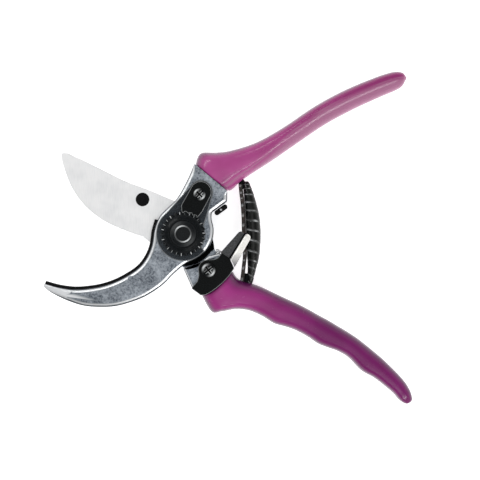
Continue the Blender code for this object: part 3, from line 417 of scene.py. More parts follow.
def mouldedMaterial(name, dark, light, roughness, size):
    # moulded rubber or nylon: dull black with a fine spark-eroded grain
    material, tree, shader, place = newMaterial(name, Metallic=0.0, Specular_IOR_Level=0.08)
    mottle = grain(tree, place, size, 3.0)
    tree.links.new(ramp(tree, mottle, (0.3, dark), (0.7, light)), shader.inputs["Base Color"])
    tree.links.new(ramp(tree, mottle, (0.3, roughness - 0.06), (0.7, roughness + 0.06)),
                   shader.inputs["Roughness"])
    bumped(tree, shader, mottle, 0.02, 0.5)
    return material


forgedAluminium = forgedAluminiumMaterial()
groundSteel = groundSteelMaterial()
counterSteel = blackenedSteelMaterial("oilQuenchedSteel", "#050506", "#0E1012", 0.3, 0.9, 0.1)
blackSteel = blackenedSteelMaterial("blackenedSteel", "#050606", "#101415", 0.26, 0.6, 0.07)
nutSteel = blackenedSteelMaterial("blackenedToothedSteel", "#050708", "#1C2023", 0.22, 0.45, 0.12)
screwSteel = blackenedSteelMaterial("blackenedScrewSteel", "#040506", "#121517", 0.26, 0.45, 0.07)
plateSteel = blackenedSteelMaterial("phosphatedSteel", "#0C0F12", "#474E55", 0.4, 0.4, 0.12)
leverSteel = blackenedSteelMaterial("blackenedLeverSteel", "#303132", "#525456", 0.45, 0.8, 0.2)
legSteel = blackenedSteelMaterial("strawTemperedSpringSteel", "#0E0B0A", "#3A2E28", 0.3, 2.6, 0.3)
springSteel = blackenedSteelMaterial("blueTemperedSpringSteel", "#040505", "#191C18", 0.2, 1.6, 0.3)
# the fourth colour is painted shade at the sides, the fifth painted light on a facet and the ridge
vinylUpper = vinylMaterial("dippedVinylUpper", "#C2549B", "#9C3177", "#5C1E4E", "#A8708F", 0.45)
vinylLower = vinylMaterial("dippedVinylLower", "#B84093", "#791B65", "#4C1244", "#B060A0", 0.34)
rivetSteel = plainSteelMaterial("turnedSteel", "#D2D3D4", "#A2A5A8", 0.25)
polishedLever = plainSteelMaterial("rubbedNickelPlate", "#F1F0EC", "#DEDDD8", 0.3, (-0.0155, -0.009))
bronze = plainSteelMaterial("sinteredBronze", "#A88452", "#7E6138", 0.4)
blackRubber = mouldedMaterial("mouldedRubber", "#0B0B0B", "#171717", 0.6, 0.7)
blackNylon = mouldedMaterial("mouldedNylon", "#060607", "#121213", 0.42, 0.8)
print("materials made")

# ---- levels from the CAD, in millimetres

stackGap = 0.3
hookBottom, hookTop = low("counter_blade"), low("cover_plate") - stackGap
blockBottom = low("blade_handle")
discBottom, discTop = low("pivot_bushing"), low("cutting_blade") - stackGap
bladeBottom, bladeTop = low("cutting_blade"), high("cutting_blade")
plateBottom, plateTop = low("cover_plate"), high("cover_plate")
nutBottom, nutTop = low("toothed_nut"), high("locking_segment")
boltTop = high("pivot_bolt")
gripHeight = 16.4
gripMiddle = low("upper_grip") + gripHeight / 2
catchThick = 2.0
catchBottom, catchTop = low("thumb_catch"), low("thumb_catch") + catchThick

# ---- grips

# outer edge, inner edge, share of the grip height, ridge place (-1 inner edge, 1 outer edge)
upperStations = np.array([
    (5.4, 34.9, 21.8, 21.3, 0.93, -0.72), (8.4, 40.4, 24.4, 22.6, 0.94, -0.70),
    (16.2, 40.8, 28.2, 26.2, 0.97, -0.68), (24.0, 41.9, 33.5, 30.0, 0.99, -0.64),
    (36.5, 46.0, 43.5, 36.4, 1.0, -0.42), (49.9, 53.5, 56.0, 45.0, 1.0, 0.0),
    (65.4, 63.9, 70.5, 54.8, 1.0, 0.18), (80.0, 71.8, 84.5, 62.4, 0.98, 0.12),
    (94.7, 78.0, 98.0, 68.6, 0.93, 0.08), (104.0, 81.0, 105.8, 71.9, 0.85, 0.08),
    (109.0, 80.9, 109.2, 74.0, 0.68, 0.05), (111.2, 78.6, 110.9, 76.9, 0.36, 0.0)])
lowerStations = np.array([
    (8.7, -30.6, 24.1, -18.4, 0.93, 0), (13.8, -38.9, 26.6, -22.0, 0.94, 0),
    (18.9, -38.8, 30.4, -23.9, 0.95, 0), (25.6, -37.6, 34.4, -24.9, 0.97, 0),
    (32.3, -38.2, 39.0, -26.6, 0.99, 0), (39.0, -41.0, 44.5, -29.2, 1.0, 0),
    (45.0, -44.7, 51.0, -32.3, 1.0, 0), (50.5, -46.3, 56.5, -34.8, 1.0, 0),
    (56.0, -48.2, 62.0, -37.6, 1.0, 0), (61.9, -51.4, 67.5, -40.7, 1.0, 0),
    (66.6, -54.6, 72.5, -43.4, 1.0, 0), (70.5, -56.3, 76.5, -45.8, 1.0, 0),
    (77.2, -58.7, 83.0, -49.7, 1.0, 0), (82.5, -62.0, 88.2, -53.3, 0.99, 0),
    (88.6, -68.2, 95.0, -58.8, 0.97, 0), (95.5, -72.2, 101.0, -64.0, 0.94, 0),
    (103.9, -78.9, 109.0, -72.1, 0.88, 0), (107.6, -83.0, 112.8, -77.6, 0.78, 0),
    (110.4, -84.8, 114.2, -81.9, 0.6, 0), (112.2, -84.7, 113.9, -83.5, 0.34, 0)])

gripShape = {"around": 112, "perSpan": 8, "wall": 1.9, "lean": 0.22, "lowerBow": 1.9, "tipBulge": 0.2,
             "ridgeDrop": 0.16, "ridgeSoft": 0.11, "sideFrom": 0.45, "upperLift": 0.33,
             "lowerLift": 0.27, "liftStations": 5}


def liftOf(rowCount, per, lift):
    # extra height of the upper half: lift at the front, smoothly to none over a few stations
    share = np.clip(1 - np.arange(rowCount) / (gripShape["liftStations"] * per), 0, 1)
    return lift * share ** 2 * (3 - 2 * share)


def sectionRings(rows, drawIn, bow, ridgeDrop, count, lift, advance=0.0):
    # side = sign(cos) |cos|^0.72 and rise = sign(sin) |sin|^0.8 round each station, scaled to its half
    # width and half height; the top is lifted at the front, and falls away from the ridge by
    # ridgeDrop times the distance from it
    outer, inner, height, ridge = rows[:, :2], rows[:, 2:4], rows[:, 4] * gripHeight, rows[:, 5]
    middle, across = (outer + inner) / 2, (outer - inner) / 2
    half = np.linalg.norm(across, axis=1)
    direction = across / half[:, None]
    ahead = -leftOf(direction)
    ahead = ahead * np.where((ahead * middle).sum(1) < 0, -1, 1)[:, None]
    halfWidth = np.maximum(half - drawIn, 0.25)
    halfHeight = np.maximum(height / 2 - drawIn, 0.25)
    angle = 2 * math.pi * (np.arange(count) + 0.5) / count
    side = (np.sign(np.cos(angle)) * np.abs(np.cos(angle)) ** 0.72)[None]
    rise = (np.sign(np.sin(angle)) * np.abs(np.sin(angle)) ** 0.8)[None]
    up = np.maximum(rise, 0)
    lean = gripShape["lean"] * up * (1 - side ** 2)
    away = np.sqrt((side - ridge[:, None]) ** 2 + gripShape["ridgeSoft"] ** 2) - gripShape["ridgeSoft"]
    crest = (1 - ridgeDrop * away * (up > 0)) * (1 + np.reshape(lift, (-1, 1)) * (up > 0))
    move = halfWidth[:, None] * (side + lean)
    forward = np.reshape(bow, (-1, 1)) * (1 - side ** 2) + np.reshape(advance, (-1, 1))
    plan = middle[:, None] + direction[:, None] * move[..., None] + ahead[:, None] * forward[..., None]
    level = gripMiddle + halfHeight[:, None] * rise * crest
    return np.concatenate([plan, level[..., None]], 2)


def gripShell(stations, bow, lift, ridgeDrop):
    # inner wall of the mouth, a half-round lip, the outer skin, and a rounded closed end
    per, count, wall = gripShape["perSpan"], gripShape["around"], gripShape["wall"]
    rows = smoothRows(stations, per)
    fade = np.clip(1 - np.arange(len(rows)) / (2 * per), 0, 1) ** 2 * bow
    first = np.repeat(rows[:1], 12, 0)
    mouth = sectionRings(first[:3], wall, bow, 0.0, count, lift, np.array([6.0, 3.5, 1.6]))
    turn = np.linspace(math.pi, 0, 9)
    lip = sectionRings(first[:9], wall / 2 * (1 - np.cos(turn)), bow, ridgeDrop,
                       count, lift, wall / 2 * (1 - np.sin(turn)))
    skin = sectionRings(rows, 0.0, fade, ridgeDrop, count, liftOf(len(rows), per, lift))
    ahead = skin[-1].mean(0) - skin[-2].mean(0)
    ahead = ahead / np.linalg.norm(ahead)
    skin = skin[3:]
    turn = np.linspace(0, math.pi / 2, 6)[1:, None, None]
    centre = skin[-1].mean(0)
    end = centre + (skin[-1] - centre)[None] * np.cos(turn * 0.96)
    return np.concatenate([mouth, lip, skin, end + ahead * gripShape["tipBulge"] * np.sin(turn)])


def tangShell(stations, bow, lift, intoBody):
    # the bar inside a grip: sections drawn in by the coat's wall, carried back into the body
    rows = smoothRows(stations[:-3], 2)
    fade = np.clip(1 - np.arange(len(rows)) / 4, 0, 1) ** 2 * bow
    rings = sectionRings(rows, gripShape["wall"] + 0.3, fade, 0.0, 40, liftOf(len(rows), 2, lift))
    return np.concatenate([rings[:1] + np.array([*intoBody, 0.0]), rings])


def gripShares(stations, rings, ridged):
    # painted shade and light, with s the place across a section, -1 to 1: above 0, painted shade at the
    # sides, it is smoothstep((|s| - from) / (1 - from)); on a ridged grip it falls below 0, painted light,
    # past the ridge r, 2 (r - s) up to 0.75, and on the ridge line as a painted highlight
    count = gripShape["around"]
    angle = 2 * math.pi * (np.arange(count) + 0.5) / count
    s = (np.sign(np.cos(angle)) * np.abs(np.cos(angle)) ** 0.72)[None]
    along = np.clip((np.arange(len(rings)) - 9) / (len(rings) - 14), 0, 1) * (len(stations) - 1)
    ridge = np.interp(along, np.arange(len(stations)), stations[:, 5])[:, None]
    share = np.clip((np.abs(s) - gripShape["sideFrom"]) / (1 - gripShape["sideFrom"]), 0, 1)
    share = np.broadcast_to(share ** 2 * (3 - 2 * share), (len(rings), count))
    if not ridged:
        return share
    fromFront = np.clip((along - 1.0) / 3.0, 0, 1)[:, None]
    past = np.clip(2.0 * (ridge - 0.12 - s), 0, 0.75) * fromFront
    line = 0.8 * np.exp(-((s - ridge + 0.12) / 0.05) ** 2)
    return np.where(s < ridge, -np.maximum(past, line), share)


upperCoat = gripShell(upperStations, 0.0, gripShape["upperLift"], gripShape["ridgeDrop"])
lowerCoat = gripShell(lowerStations, gripShape["lowerBow"], gripShape["lowerLift"], 0.0)
makePiece("upperGripCoat", [upperCoat], vinylUpper, "hook_side", ["upper_grip"], 60,
          [gripShares(upperStations, upperCoat, True)])
makePiece("lowerGripCoat", [lowerCoat], vinylLower, "blade_side", ["lower_grip"], 60,
          [gripShares(lowerStations, lowerCoat, False)])
print("grips made")


# ---- forgings

def frontLine(stations, clearance):
    # the grip's front edge moved towards the pivot by a clearance
    outer, inner = stations[0, :2], stations[0, 2:4]
    back = leftOf(unit(inner - outer))
    if back @ (outer + inner) > 0:
        back = -back
    return outer + back * clearance, inner + back * clearance


counterEdge = smoothRows([(-14.3, 7.4), (-15.9, 1.5), (-16.9, -5.2), (-19.5, -11.3), (-23.6, -16.2),
                          (-31.2, -21.0), (-38.9, -24.1), (-46.5, -25.6), (-54.2, -26.1),
                          (-61.8, -25.1), (-68.4, -23.3)], 8)
forging = {"rim": 2.0, "rimDrop": 1.5, "spacing": 0.62, "blockRim": 1.0, "blockDrop": 0.22,
           "tipCut": ((-55.0, -28.4), (-57.6, -31.8)), "tipSlope": 0.03, "gapRadius": 17.3}


def hookOutline():
    topLeft, topRight = frontLine(upperStations, 0.12)
    left = smoothRows([topLeft, (3.2, 29.4), (0.2, 23.3), (-3.4, 17.3), (-7.8, 12.9), (-11.3, 9.4),
                       (-12.9, 6.6)], 8)
    inner = sideOffset(counterEdge, 1.4)[5:-3]
    outer = smoothRows([(-69.6, -24.6), (-69.0, -26.4), (-64.4, -29.7), (-56.7, -33.3), (-49.1, -35.6),
                        (-41.4, -36.2), (-33.8, -35.8), (-26.1, -33.8), (-18.5, -30.7), (-10.8, -25.6),
                        (-5.7, -20.5), (-1.7, -16.8)], 8)
    right = smoothRows([(-1.7, -16.8), (2.2, -14.2), (6.4, -12.3), (11.2, -8.4), (14.3, -2.8),
                        (14.9, 2.6), (13.9, 7.2), (13.9, 10.6)], 8)
    return closedOutline([left, inner, outer, right, [(21.6, 16.2), topRight]], forging["spacing"], 1)


hookPlan = hookOutline()
hookRings = plateRings(hookPlan, hookBottom, hookTop, forging["rim"], forging["rimDrop"], 0.2,
                       keep=endFade(hookPlan, upperStations, 1.6))
cutStart, cutEnd = np.array(forging["tipCut"])
beyond = crossOf(unit(cutEnd - cutStart), hookRings[..., :2] - cutStart)
beyond = np.where(hookRings[..., 0] < -45, np.maximum(-beyond, 0), 0)
rise = np.clip((hookRings[..., 2] - hookBottom) / (hookTop - hookBottom), 0, 1)
hookRings[..., 2] -= forging["tipSlope"] * beyond * rise
hookShares = rimShares(hookRings)[:, None] * (endFade(hookPlan, upperStations, 1.0) > 0.3)
# the painted dark outer line, which stands for reflected shade, is broader along the hook's back, most of
# all near its tip
outwardWay = -insetWay(hookPlan, 0.5)
back = np.clip(-outwardWay[:, 1] / 0.5, 0, 1) * np.clip((-4.0 - hookPlan[:, 0]) / 12, 0, 1)
back = back * (1 + 1.2 * np.clip((-50 - hookPlan[:, 0]) / 10, 0, 1))
broader = np.minimum(hookShares * (1 + 0.25 * back[None]), 0.97)
hookShares = np.where(hookShares < 0.97, broader, hookShares)
# the sloped facet at the tip takes the rim's bright colour at share 0.5: a painted highlight
hookShares = np.where((beyond > 0) & (hookShares < 0.5), 0.5 * np.clip(beyond * 2, 0, 1), hookShares)


def neckOutline():
    topLeft, topRight = frontLine(upperStations, 0.45)
    inside = arcRun((0, 0), 16.8, 88, 44, 16)
    return closedOutline([[topLeft, (3.35, 29.2), (1.25, 23.6)], inside,
                          [(13.95, 10.8), (21.5, 16.25), topRight]], forging["spacing"], 1)


neckRings = plateRings(neckOutline(), blockBottom, hookBottom + 1.5, 0.6, 0.4, 1.0, 4)
upperTang = tangShell(upperStations, 0.0, gripShape["upperLift"], (-1.9, -2.5))
makePiece("hookForging", [hookRings, neckRings, upperTang], forgedAluminium, "hook_side",
          ["hook_handle"], 40,
          [hookShares, np.zeros(len(neckRings)), np.zeros(len(upperTang))])


def blockOutline():
    topRight, lowLeft = frontLine(lowerStations, 0.12)[::-1]
    inside = arcRun((0, 0), 16.6, -90.5, -44, 20)
    return closedOutline([inside, [(15.2, -10.2), (18.2, -9.7), (19.0, -11.0), topRight, lowLeft,
                                   (4.3, -26.6)]], 0.5, 1)


def discOutline():
    return closedOutline([arcRun((0, 0), 13.0, 8, 232, 60),
                          [(-0.2, -16.9), (4.0, -25.0), (10.0, -22.0), (18.0, -14.0), (17.2, -10.2),
                           (15.0, -7.6)]], 0.6, 2)


blockPlan = blockOutline()
blockRings = plateRings(blockPlan, blockBottom, hookTop, forging["blockRim"], forging["blockDrop"], 0.8,
                        keep=endFade(blockPlan, lowerStations, 1.6))
discRings = plateRings(discOutline(), discBottom, discTop, 0.4, 0.4, 0.4, 4)
blockShares = rimShares(blockRings)[:, None] * (endFade(blockPlan, lowerStations, 1.0) > 0.3)
# on the side that faces the pivot the rim keeps the burnished colour with its painted highlight down to the
# gap, without the painted dark outer line
facing = np.linalg.norm(blockPlan, axis=1) < forging["gapRadius"]
blockShares[5:, facing] = np.minimum(blockShares[5:, facing], 0.6)
lowerTang = tangShell(lowerStations, gripShape["lowerBow"], gripShape["lowerLift"], (-2.2, 2.7))
makePiece("lowerForging", [blockRings, discRings, lowerTang], forgedAluminium, "blade_side",
          ["blade_handle"], 40,
          [blockShares, np.zeros(len(discRings)), np.zeros(len(lowerTang))])
print("forgings made")

# ---- cutting parts

blade = {"grind": 4.5, "land": 0.35, "chamfer": 0.28, "counterWidth": 7.5, "counterThick": 3.0}


def bladeRings():
    # the outline at the top; below, the cutting edge's points move inward by the grind's width, which
    # grows from nothing at both ends of the edge
    spine = smoothRows([(-3.0, 15.9), (-5.3, 16.8), (-18.3, 22.3), (-29.8, 26.7), (-43.2, 33.4),
                        (-57.6, 40.3)], 10)
    edge = smoothRows([(-57.6, 40.3), (-60.6, 40.6), (-60.9, 37.6), (-59.0, 30.6), (-55.2, 21.9),
                       (-49.3, 14.0), (-41.4, 7.5), (-32.3, 2.9), (-22.8, -0.6)], 12)
    throat = smoothRows([(-20.2, -1.3), (-17.6, -3.6), (-13.6, -6.2), (-9.5, -10.2), (-4.0, -14.6)], 8)
    lobe = arcRun((0, 0), 16.0, -100, -34, 30)
    back = smoothRows([(15.1, -7.6), (15.0, -5.8), (14.2, -1.5), (12.6, 6.0), (7.2, 12.2),
                       (-3.0, 15.9)], 8)
    share = np.linspace(0, 1, len(edge))
    width = blade["grind"] * np.minimum(1, np.minimum(5 * share, 6 * (1 - share)))
    ground = sideOffset(edge, width)
    top = np.vstack([spine[:-1], edge, throat, lobe, back[:-1]])
    under = np.vstack([spine[:-1], ground, throat, lobe, back[:-1]])
    way = insetWay(top, blade["chamfer"])
    rings = [(under + insetWay(top, 0.6), bladeBottom), (under + way * 0.4, bladeBottom),
             (under, bladeBottom + 0.15), (top, bladeTop - blade["land"]), (top, bladeTop - 0.16),
             (top + way * 0.5, bladeTop - 0.04), (top + way, bladeTop), (top + way * 1.4, bladeTop)]
    return np.stack([np.column_stack([plan, np.full(len(plan), z)]) for plan, z in rings])


makePiece("groundBlade", [bladeRings()], groundSteel, "blade_side",
          ["cutting_blade"], 24)


def counterOutline():
    # a band along the counter edge, full width in the middle and narrower to both ends
    share = np.linspace(0, 1, len(counterEdge))
    width = blade["counterWidth"] * np.minimum(1, 0.55 + 1.6 * share)
    width = width * np.minimum(1, 0.24 + 1.9 * (1 - share))
    outer = sideOffset(counterEdge, width)
    return closedOutline([counterEdge, outer[::-1]], 0.6)


counterTop = hookBottom + blade["counterThick"]
counterRings = plateRings(counterOutline(), hookBottom, counterTop, 0.4, 0.4, 0.1, 4)
makePiece("counterBlade", [counterRings], counterSteel, "hook_side",
          ["counter_blade"], 40)
print("cutting parts made")

# ---- pivot hardware

nut = {"teeth": 26, "radius": 11.0, "depth": 0.9, "count": 26 * 16, "dish": 0.7, "valley": 0.5}
segmentHead, segmentScrewPlace = (8.7, 20.6), middleOf("segment_screw")
catchAxis = middleOf("catch_screw")


def paintedArcHighlight(rings, centre, least, most, azimuth=135):
    # painted highlight on a round rim: least + (most - least) x the fourth power of the cosine of the angle
    # from azimuth, so that two opposite sides are the brightest
    angle = np.arctan2(rings[..., 1] - centre[1], rings[..., 0] - centre[0]) - math.radians(azimuth)
    return least + (most - least) * np.cos(angle) ** 4


def plateOutline():
    big = arcRun((0, 0), 13.4, 128, 322, 90)
    small = arcRun((0, 0), nut["radius"] - 0.2, 324, 382, 24)
    head = arcRun(segmentHead, 6.0, -5, 150, 40)
    return closedOutline([big, small, [(11.6, 8.6)], head], 0.5, 2)


coverRings = plateRings(plateOutline(), plateBottom, plateTop, 0.45, 0.4, 0.1, 5)
coverShares = np.zeros(len(coverRings))
# a painted highlight along the bevel
coverShares[-5:-2] = 0.25
makePiece("coverPlate", [coverRings], plateSteel, "hook_side",
          ["cover_plate"], 40, [coverShares])


def toothGap(phase):
    # how near a place in a tooth's pitch (0 to 1) is to the middle of the gap: 1 there, 0 on the tooth
    return np.clip(1 - np.abs(phase - 0.5) / 0.34, 0, 1) ** 0.8


def nutRings():
    # the wall draws in by depth times the tooth gap, and the top's outer band sinks by valley times
    # it, so that the flanks slope
    count = nut["count"]
    gap = toothGap((np.arange(count) / count * nut["teeth"]) % 1.0)
    wall = nut["radius"] - nut["depth"] * gap
    top, one = nutTop, np.ones(count)
    boss = boltTop - 0.5
    profile = [(4.35, boss), (4.7, boss), (5.2, boss - 0.02), (5.5, boss - 0.14), (6.1, top + 0.42),
               (6.5, top + 0.16), (6.85, top - nut["dish"]), (7.3, top - nut["dish"] - 0.05),
               (7.9, top - 0.35), (8.5, top - 0.08), (9.0, top), (9.3, top)]
    radius = [wall * 0.9, wall, wall, wall - 0.12, wall - 0.35]
    height = [nutBottom * one, nutBottom * one, top - 0.75 - nut["valley"] * gap,
              top - 0.4 - nut["valley"] * gap, top - 0.18 - nut["valley"] * gap]
    for r, share in ((10.0, 1.0), (9.75, 0.8), (9.5, 0.35)):
        radius.append(np.minimum(r, wall - 0.5 + (r - 10.0)))
        height.append(top - nut["valley"] * gap * share)
    for r, z in profile[::-1]:
        radius.append(r * one)
        height.append(z * one)
    radius.append(4.2 * one)
    height.append((boss - 0.3) * one)
    return polarRings(np.array(radius), np.array(height), count, (0, 0))


nutShape = nutRings()
nutShares = np.zeros(nutShape.shape[:2])
nutPhase = (np.arange(nut["count"]) / nut["count"] * nut["teeth"]) % 1.0
nutAngle = np.arange(nut["count"]) / nut["count"] * 2 * math.pi
# painted glints: one flank of each tooth is lightened, more on some teeth than on others and most on two
# opposite sides
nutShares[3:7] = (np.abs(nutPhase - 0.16) < 0.07) * (0.45 + 0.45 * np.cos(nutAngle * 11)) * (
    0.75 + 0.6 * np.cos(nutAngle + math.radians(50)) ** 2)
# painted highlight arcs on the boss's rim
nutShares[-6:-2] = paintedArcHighlight(nutShape[-6:-2], (0, 0), 0.0, 0.07)
makePiece("toothedNut", [nutShape], nutSteel, "hook_side",
          ["toothed_nut"], 50, [nutShares])

# radius and height, from the middle of the head's underside to the dimple in the shank's end
boltProfile = [(0.02, 0.0), (8.4, 0.0), (8.8, 0.12), (9.0, 0.45), (9.0, 2.1), (8.85, 2.45), (8.4, 2.6),
               (4.3, 2.6), (4.3, boltTop - 0.5), (4.2, boltTop - 0.18), (3.95, boltTop),
               (3.6, boltTop - 0.05), (3.4, boltTop - 0.4), (3.2, boltTop - 1.3), (2.9, boltTop - 1.5),
               (1.9, boltTop - 1.45), (1.6, boltTop - 1.1), (1.2, boltTop - 1.0), (0.02, boltTop - 1.0)]
boltRings = polarRings([p[0] for p in boltProfile], [p[1] for p in boltProfile], 96, (0, 0))
boltShares = np.zeros(boltRings.shape[:2])
# painted highlight arcs on the rim of the shank's end and, fainter, in its dimple
boltShares[9:12] = paintedArcHighlight(boltRings[9:12], (0, 0), 0.1, 1.0, 120)
boltShares[14:17] = paintedArcHighlight(boltRings[14:17], (0, 0), 0.0, 0.5, 120)
makePiece("pivotBolt", [boltRings], nutSteel, "hook_side",
          ["pivot_bolt"], 35, [boltShares])


def segmentOutline():
    # head arc, the arm, and a foot whose outline keeps clear of the nut's teeth
    pitch = 360 / nut["teeth"]
    angle = np.linspace(49, 93, 220)
    radius = nut["radius"] + 0.1 - nut["depth"] * toothGap((angle / pitch) % 1.0)
    foot = np.stack([radius * np.cos(np.radians(angle)), radius * np.sin(np.radians(angle))], 1)
    head = arcRun(segmentHead, 5.2, -22, 160, 40)
    return closedOutline([head, [(-0.9, 14.0)], foot[::-1], [(9.3, 10.7)]], 0.3, 1)


segmentRings = plateRings(segmentOutline(), nutBottom, nutTop, 0.35, 0.35, 0.1, 5)
segmentShares = np.zeros(len(segmentRings))
# a painted highlight along the bevel
segmentShares[-6:-3] = 0.45
makePiece("lockingSegment", [segmentRings], blackSteel, "hook_side",
          ["locking_segment"], 40, [segmentShares])

screw = {"count": 120, "crown": 0.62, "reach": 0.62, "slotHalf": 0.36, "slotDepth": 0.75, "shank": 1.5}


def screwRings(centre, radius, bottom, top, angle):
    # a pan head, lower than its top by crown times (r / radius)^4, on a plain shank; the crossed slot
    # lowers every point within its width and reach of either axis, on smooth steps 1 / (1 + exp)
    count, shank = screw["count"], screw["shank"]
    steps = np.r_[0.02, np.linspace(0.1, 0.94, 26) * radius, radius * 0.975, radius, radius, shank, shank]
    head = top - screw["crown"] * (np.minimum(steps, radius) / radius) ** 4
    head[-5:] = [top - screw["crown"], top - 0.85, bottom + 0.15, bottom, bottom - 2.5]
    theta = np.arange(count) * 2 * math.pi / count - math.radians(angle)
    x, y = steps[:, None] * np.cos(theta), steps[:, None] * np.sin(theta)
    reach = radius * screw["reach"]

    def slotShare(a, b):
        across = 1 / (1 + np.exp((np.abs(a) - screw["slotHalf"]) * 30))
        return across / (1 + np.exp((np.abs(b) - reach) * 18))

    deep = np.maximum(slotShare(x, y), slotShare(y, x)) * (steps < radius * 0.96)[:, None]
    rings = polarRings(steps, head[:, None] - screw["slotDepth"] * deep, count, centre)
    # painted light: a highlight arc on two sides of the rim and a highlight along each slot's lip,
    # exp(-((|a| - 0.55) / 0.17)^2); painted shade, near black, in the slots

    def lipHighlight(a, b):
        return np.exp(-((np.abs(a) - 0.55) / 0.17) ** 2) * (np.abs(b) < reach) * (np.abs(b) > 0.4)

    away = np.arange(count) * 2 * math.pi / count - math.radians(140)
    arc = np.exp(-((steps / radius - 0.8) / 0.16) ** 2)[:, None] * np.cos(away) ** 4
    lips = np.maximum(lipHighlight(x, y), lipHighlight(y, x))
    screwPaintedLight = np.maximum(arc, lips * (0.55 - 0.4 * np.cos(away))) * (steps < radius)[:, None]
    screwPaintedLight = np.where(deep > 0.5, -1.0, screwPaintedLight)
    return rings[::-1], screwPaintedLight[::-1]


segmentScrew, segmentScrewLight = screwRings(segmentScrewPlace, 3.0, low("segment_screw") + 16.0,
                                       high("segment_screw"), -45)
catchScrew, catchScrewLight = screwRings(catchAxis, 3.5, catchTop + 1.15, high("catch_screw"), -52)
makePiece("segmentScrew", [segmentScrew], screwSteel, "hook_side",
          ["segment_screw"], 50, [segmentScrewLight])
makePiece("catchScrew", [catchScrew], screwSteel, "blade_side",
          ["catch_screw"], 50, [catchScrewLight])
print("pivot hardware made")

# ---- thumb catch

catchShape = {"headRadius": 5.2, "straightRings": 12, "noseRings": 5, "edgeParts": 9}


def catchOutline():
    roundEnd = arcRun(catchAxis, catchShape["headRadius"], 165, 80, 20)
    return closedOutline([roundEnd,
                          smoothRows([(15.6, -12.5), (17.5, -11.4), (18.9, -9.0)], 8),
                          [(22.8, -11.6)],
                          smoothRows([(25.2, -17.0), (21.9, -21.5), (17.2, -26.0), (12.0, -29.6),
                                      (8.8, -30.3)], 8),
                          [(4.2, -27.0), (4.4, -26.2)],
                          smoothRows([(6.9, -23.4), (7.6, -20.5), (7.4, -17.6)], 8)], 0.4, 1)


def foldedBar(startCorners, endCorners, soften):
    # corners of a section carried in a straight line from start to end; each ring is the corner loop
    # cut into even parts and averaged with its neighbours; the last rings shrink to a rounded nose
    straight, parts = catchShape["straightRings"], catchShape["edgeParts"]
    noseTurn = np.linspace(0, math.pi / 2, catchShape["noseRings"] + 1)[1:]
    share = np.r_[np.linspace(0, 0.9, straight), 0.9 + 0.1 * np.sin(noseTurn)]
    corners = (np.array(startCorners)[None] * (1 - share)[:, None, None]
               + np.array(endCorners)[None] * share[:, None, None])
    part = np.arange(parts)[None, None, :, None] / parts
    rings = corners[:, :, None] * (1 - part) + np.roll(corners, -1, 1)[:, :, None] * part
    rings = rings.reshape(len(share), -1, 3)
    for _ in range(soften):
        rings = (np.roll(rings, 1, 1) + 2 * rings + np.roll(rings, -1, 1)) / 4
    size = np.r_[np.ones(straight), np.cos(noseTurn * 0.9)][:, None, None]
    centre = rings.mean(1, keepdims=True)
    return centre + (rings - centre) * size


# the lever is one folded strip: a dark upper bar, a web below it, and a flank rubbed bright
t = catchTop
darkBar = foldedBar(
    [(18.7, -8.8, t - 1.7), (18.6, -8.9, t + 0.4), (22.5, -11.6, t + 2.7), (22.9, -12.1, t - 1.7)],
    [(28.0, 1.7, t - 1.0), (28.0, 1.6, t + 0.5), (30.1, 0.5, t + 1.9), (30.5, 0.2, t - 1.0)], 3)
gapBar = foldedBar(
    [(22.0, -11.2, t - 1.6), (22.2, -11.4, t + 1.5), (24.0, -13.2, t + 1.5), (24.2, -13.4, t - 1.6)],
    [(29.8, 0.9, t - 0.9), (29.9, 0.8, t + 1.0), (31.9, 0.1, t + 1.0), (32.0, 0.0, t - 0.9)], 2)
brightBar = foldedBar(
    [(23.5, -12.3, t - 1.7), (23.3, -12.2, t + 2.9), (25.3, -16.1, t + 0.1), (25.4, -16.6, t - 1.7)],
    [(31.2, 0.5, t - 1.0), (31.1, 0.5, t + 2.0), (33.6, -1.2, t + 0.2), (33.7, -1.6, t - 1.0)], 3)
catchRings = plateRings(catchOutline(), catchBottom, catchTop, 0.45, 0.4, 0.1, 5)
catchShares = np.zeros(len(catchRings))
# a painted highlight along the bevel
catchShares[-6:-3] = 0.3
makePiece("thumbCatchPlate", [catchRings], blackSteel, "catch",
          ["thumb_catch"], 40, [catchShares])
makePiece("thumbCatchWeb", [gapBar], blackSteel, "catch", (), 60)
makePiece("thumbCatchLever", [darkBar], leverSteel, "catch", (), 60)
makePiece("thumbCatchFlank", [brightBar], polishedLever, "catch", (), 60)
print("thumb catch made")

# ---- small pieces

bumper = {"length": 7.4, "thick": 2.4, "low": 7.0, "high": 15.0}
away = unit(np.array([0.586, -0.81]))
alongFace = unit(np.array([0.81, 0.586]))
bumperMiddle = np.array([17.55, 13.35]) + away * (0.4 + bumper["thick"] / 2)
faceAngle = math.degrees(math.atan2(alongFace[1], alongFace[0]))
halfThick = bumper["thick"] / 2
toEnd = alongFace * (bumper["length"] / 2 - halfThick)
bumperOutline = closedOutline([
    arcRun(bumperMiddle + toEnd, halfThick, faceAngle - 90, faceAngle + 90, 16),
    arcRun(bumperMiddle - toEnd, halfThick, faceAngle + 90, faceAngle + 270, 16)], 0.25)
makePiece("bumperPad", [plateRings(bumperOutline, bumper["low"], bumper["high"], 0.6, 0.6, 0.6, 6)],
          blackRubber, "hook_side", ["bumper_pad"], 50)

stud = {"count": 96, "flat": 3.1, "radius": 3.42, "under": 3.7, "proud": 0.14, "mark": 0.1, "markReach": 1.8}


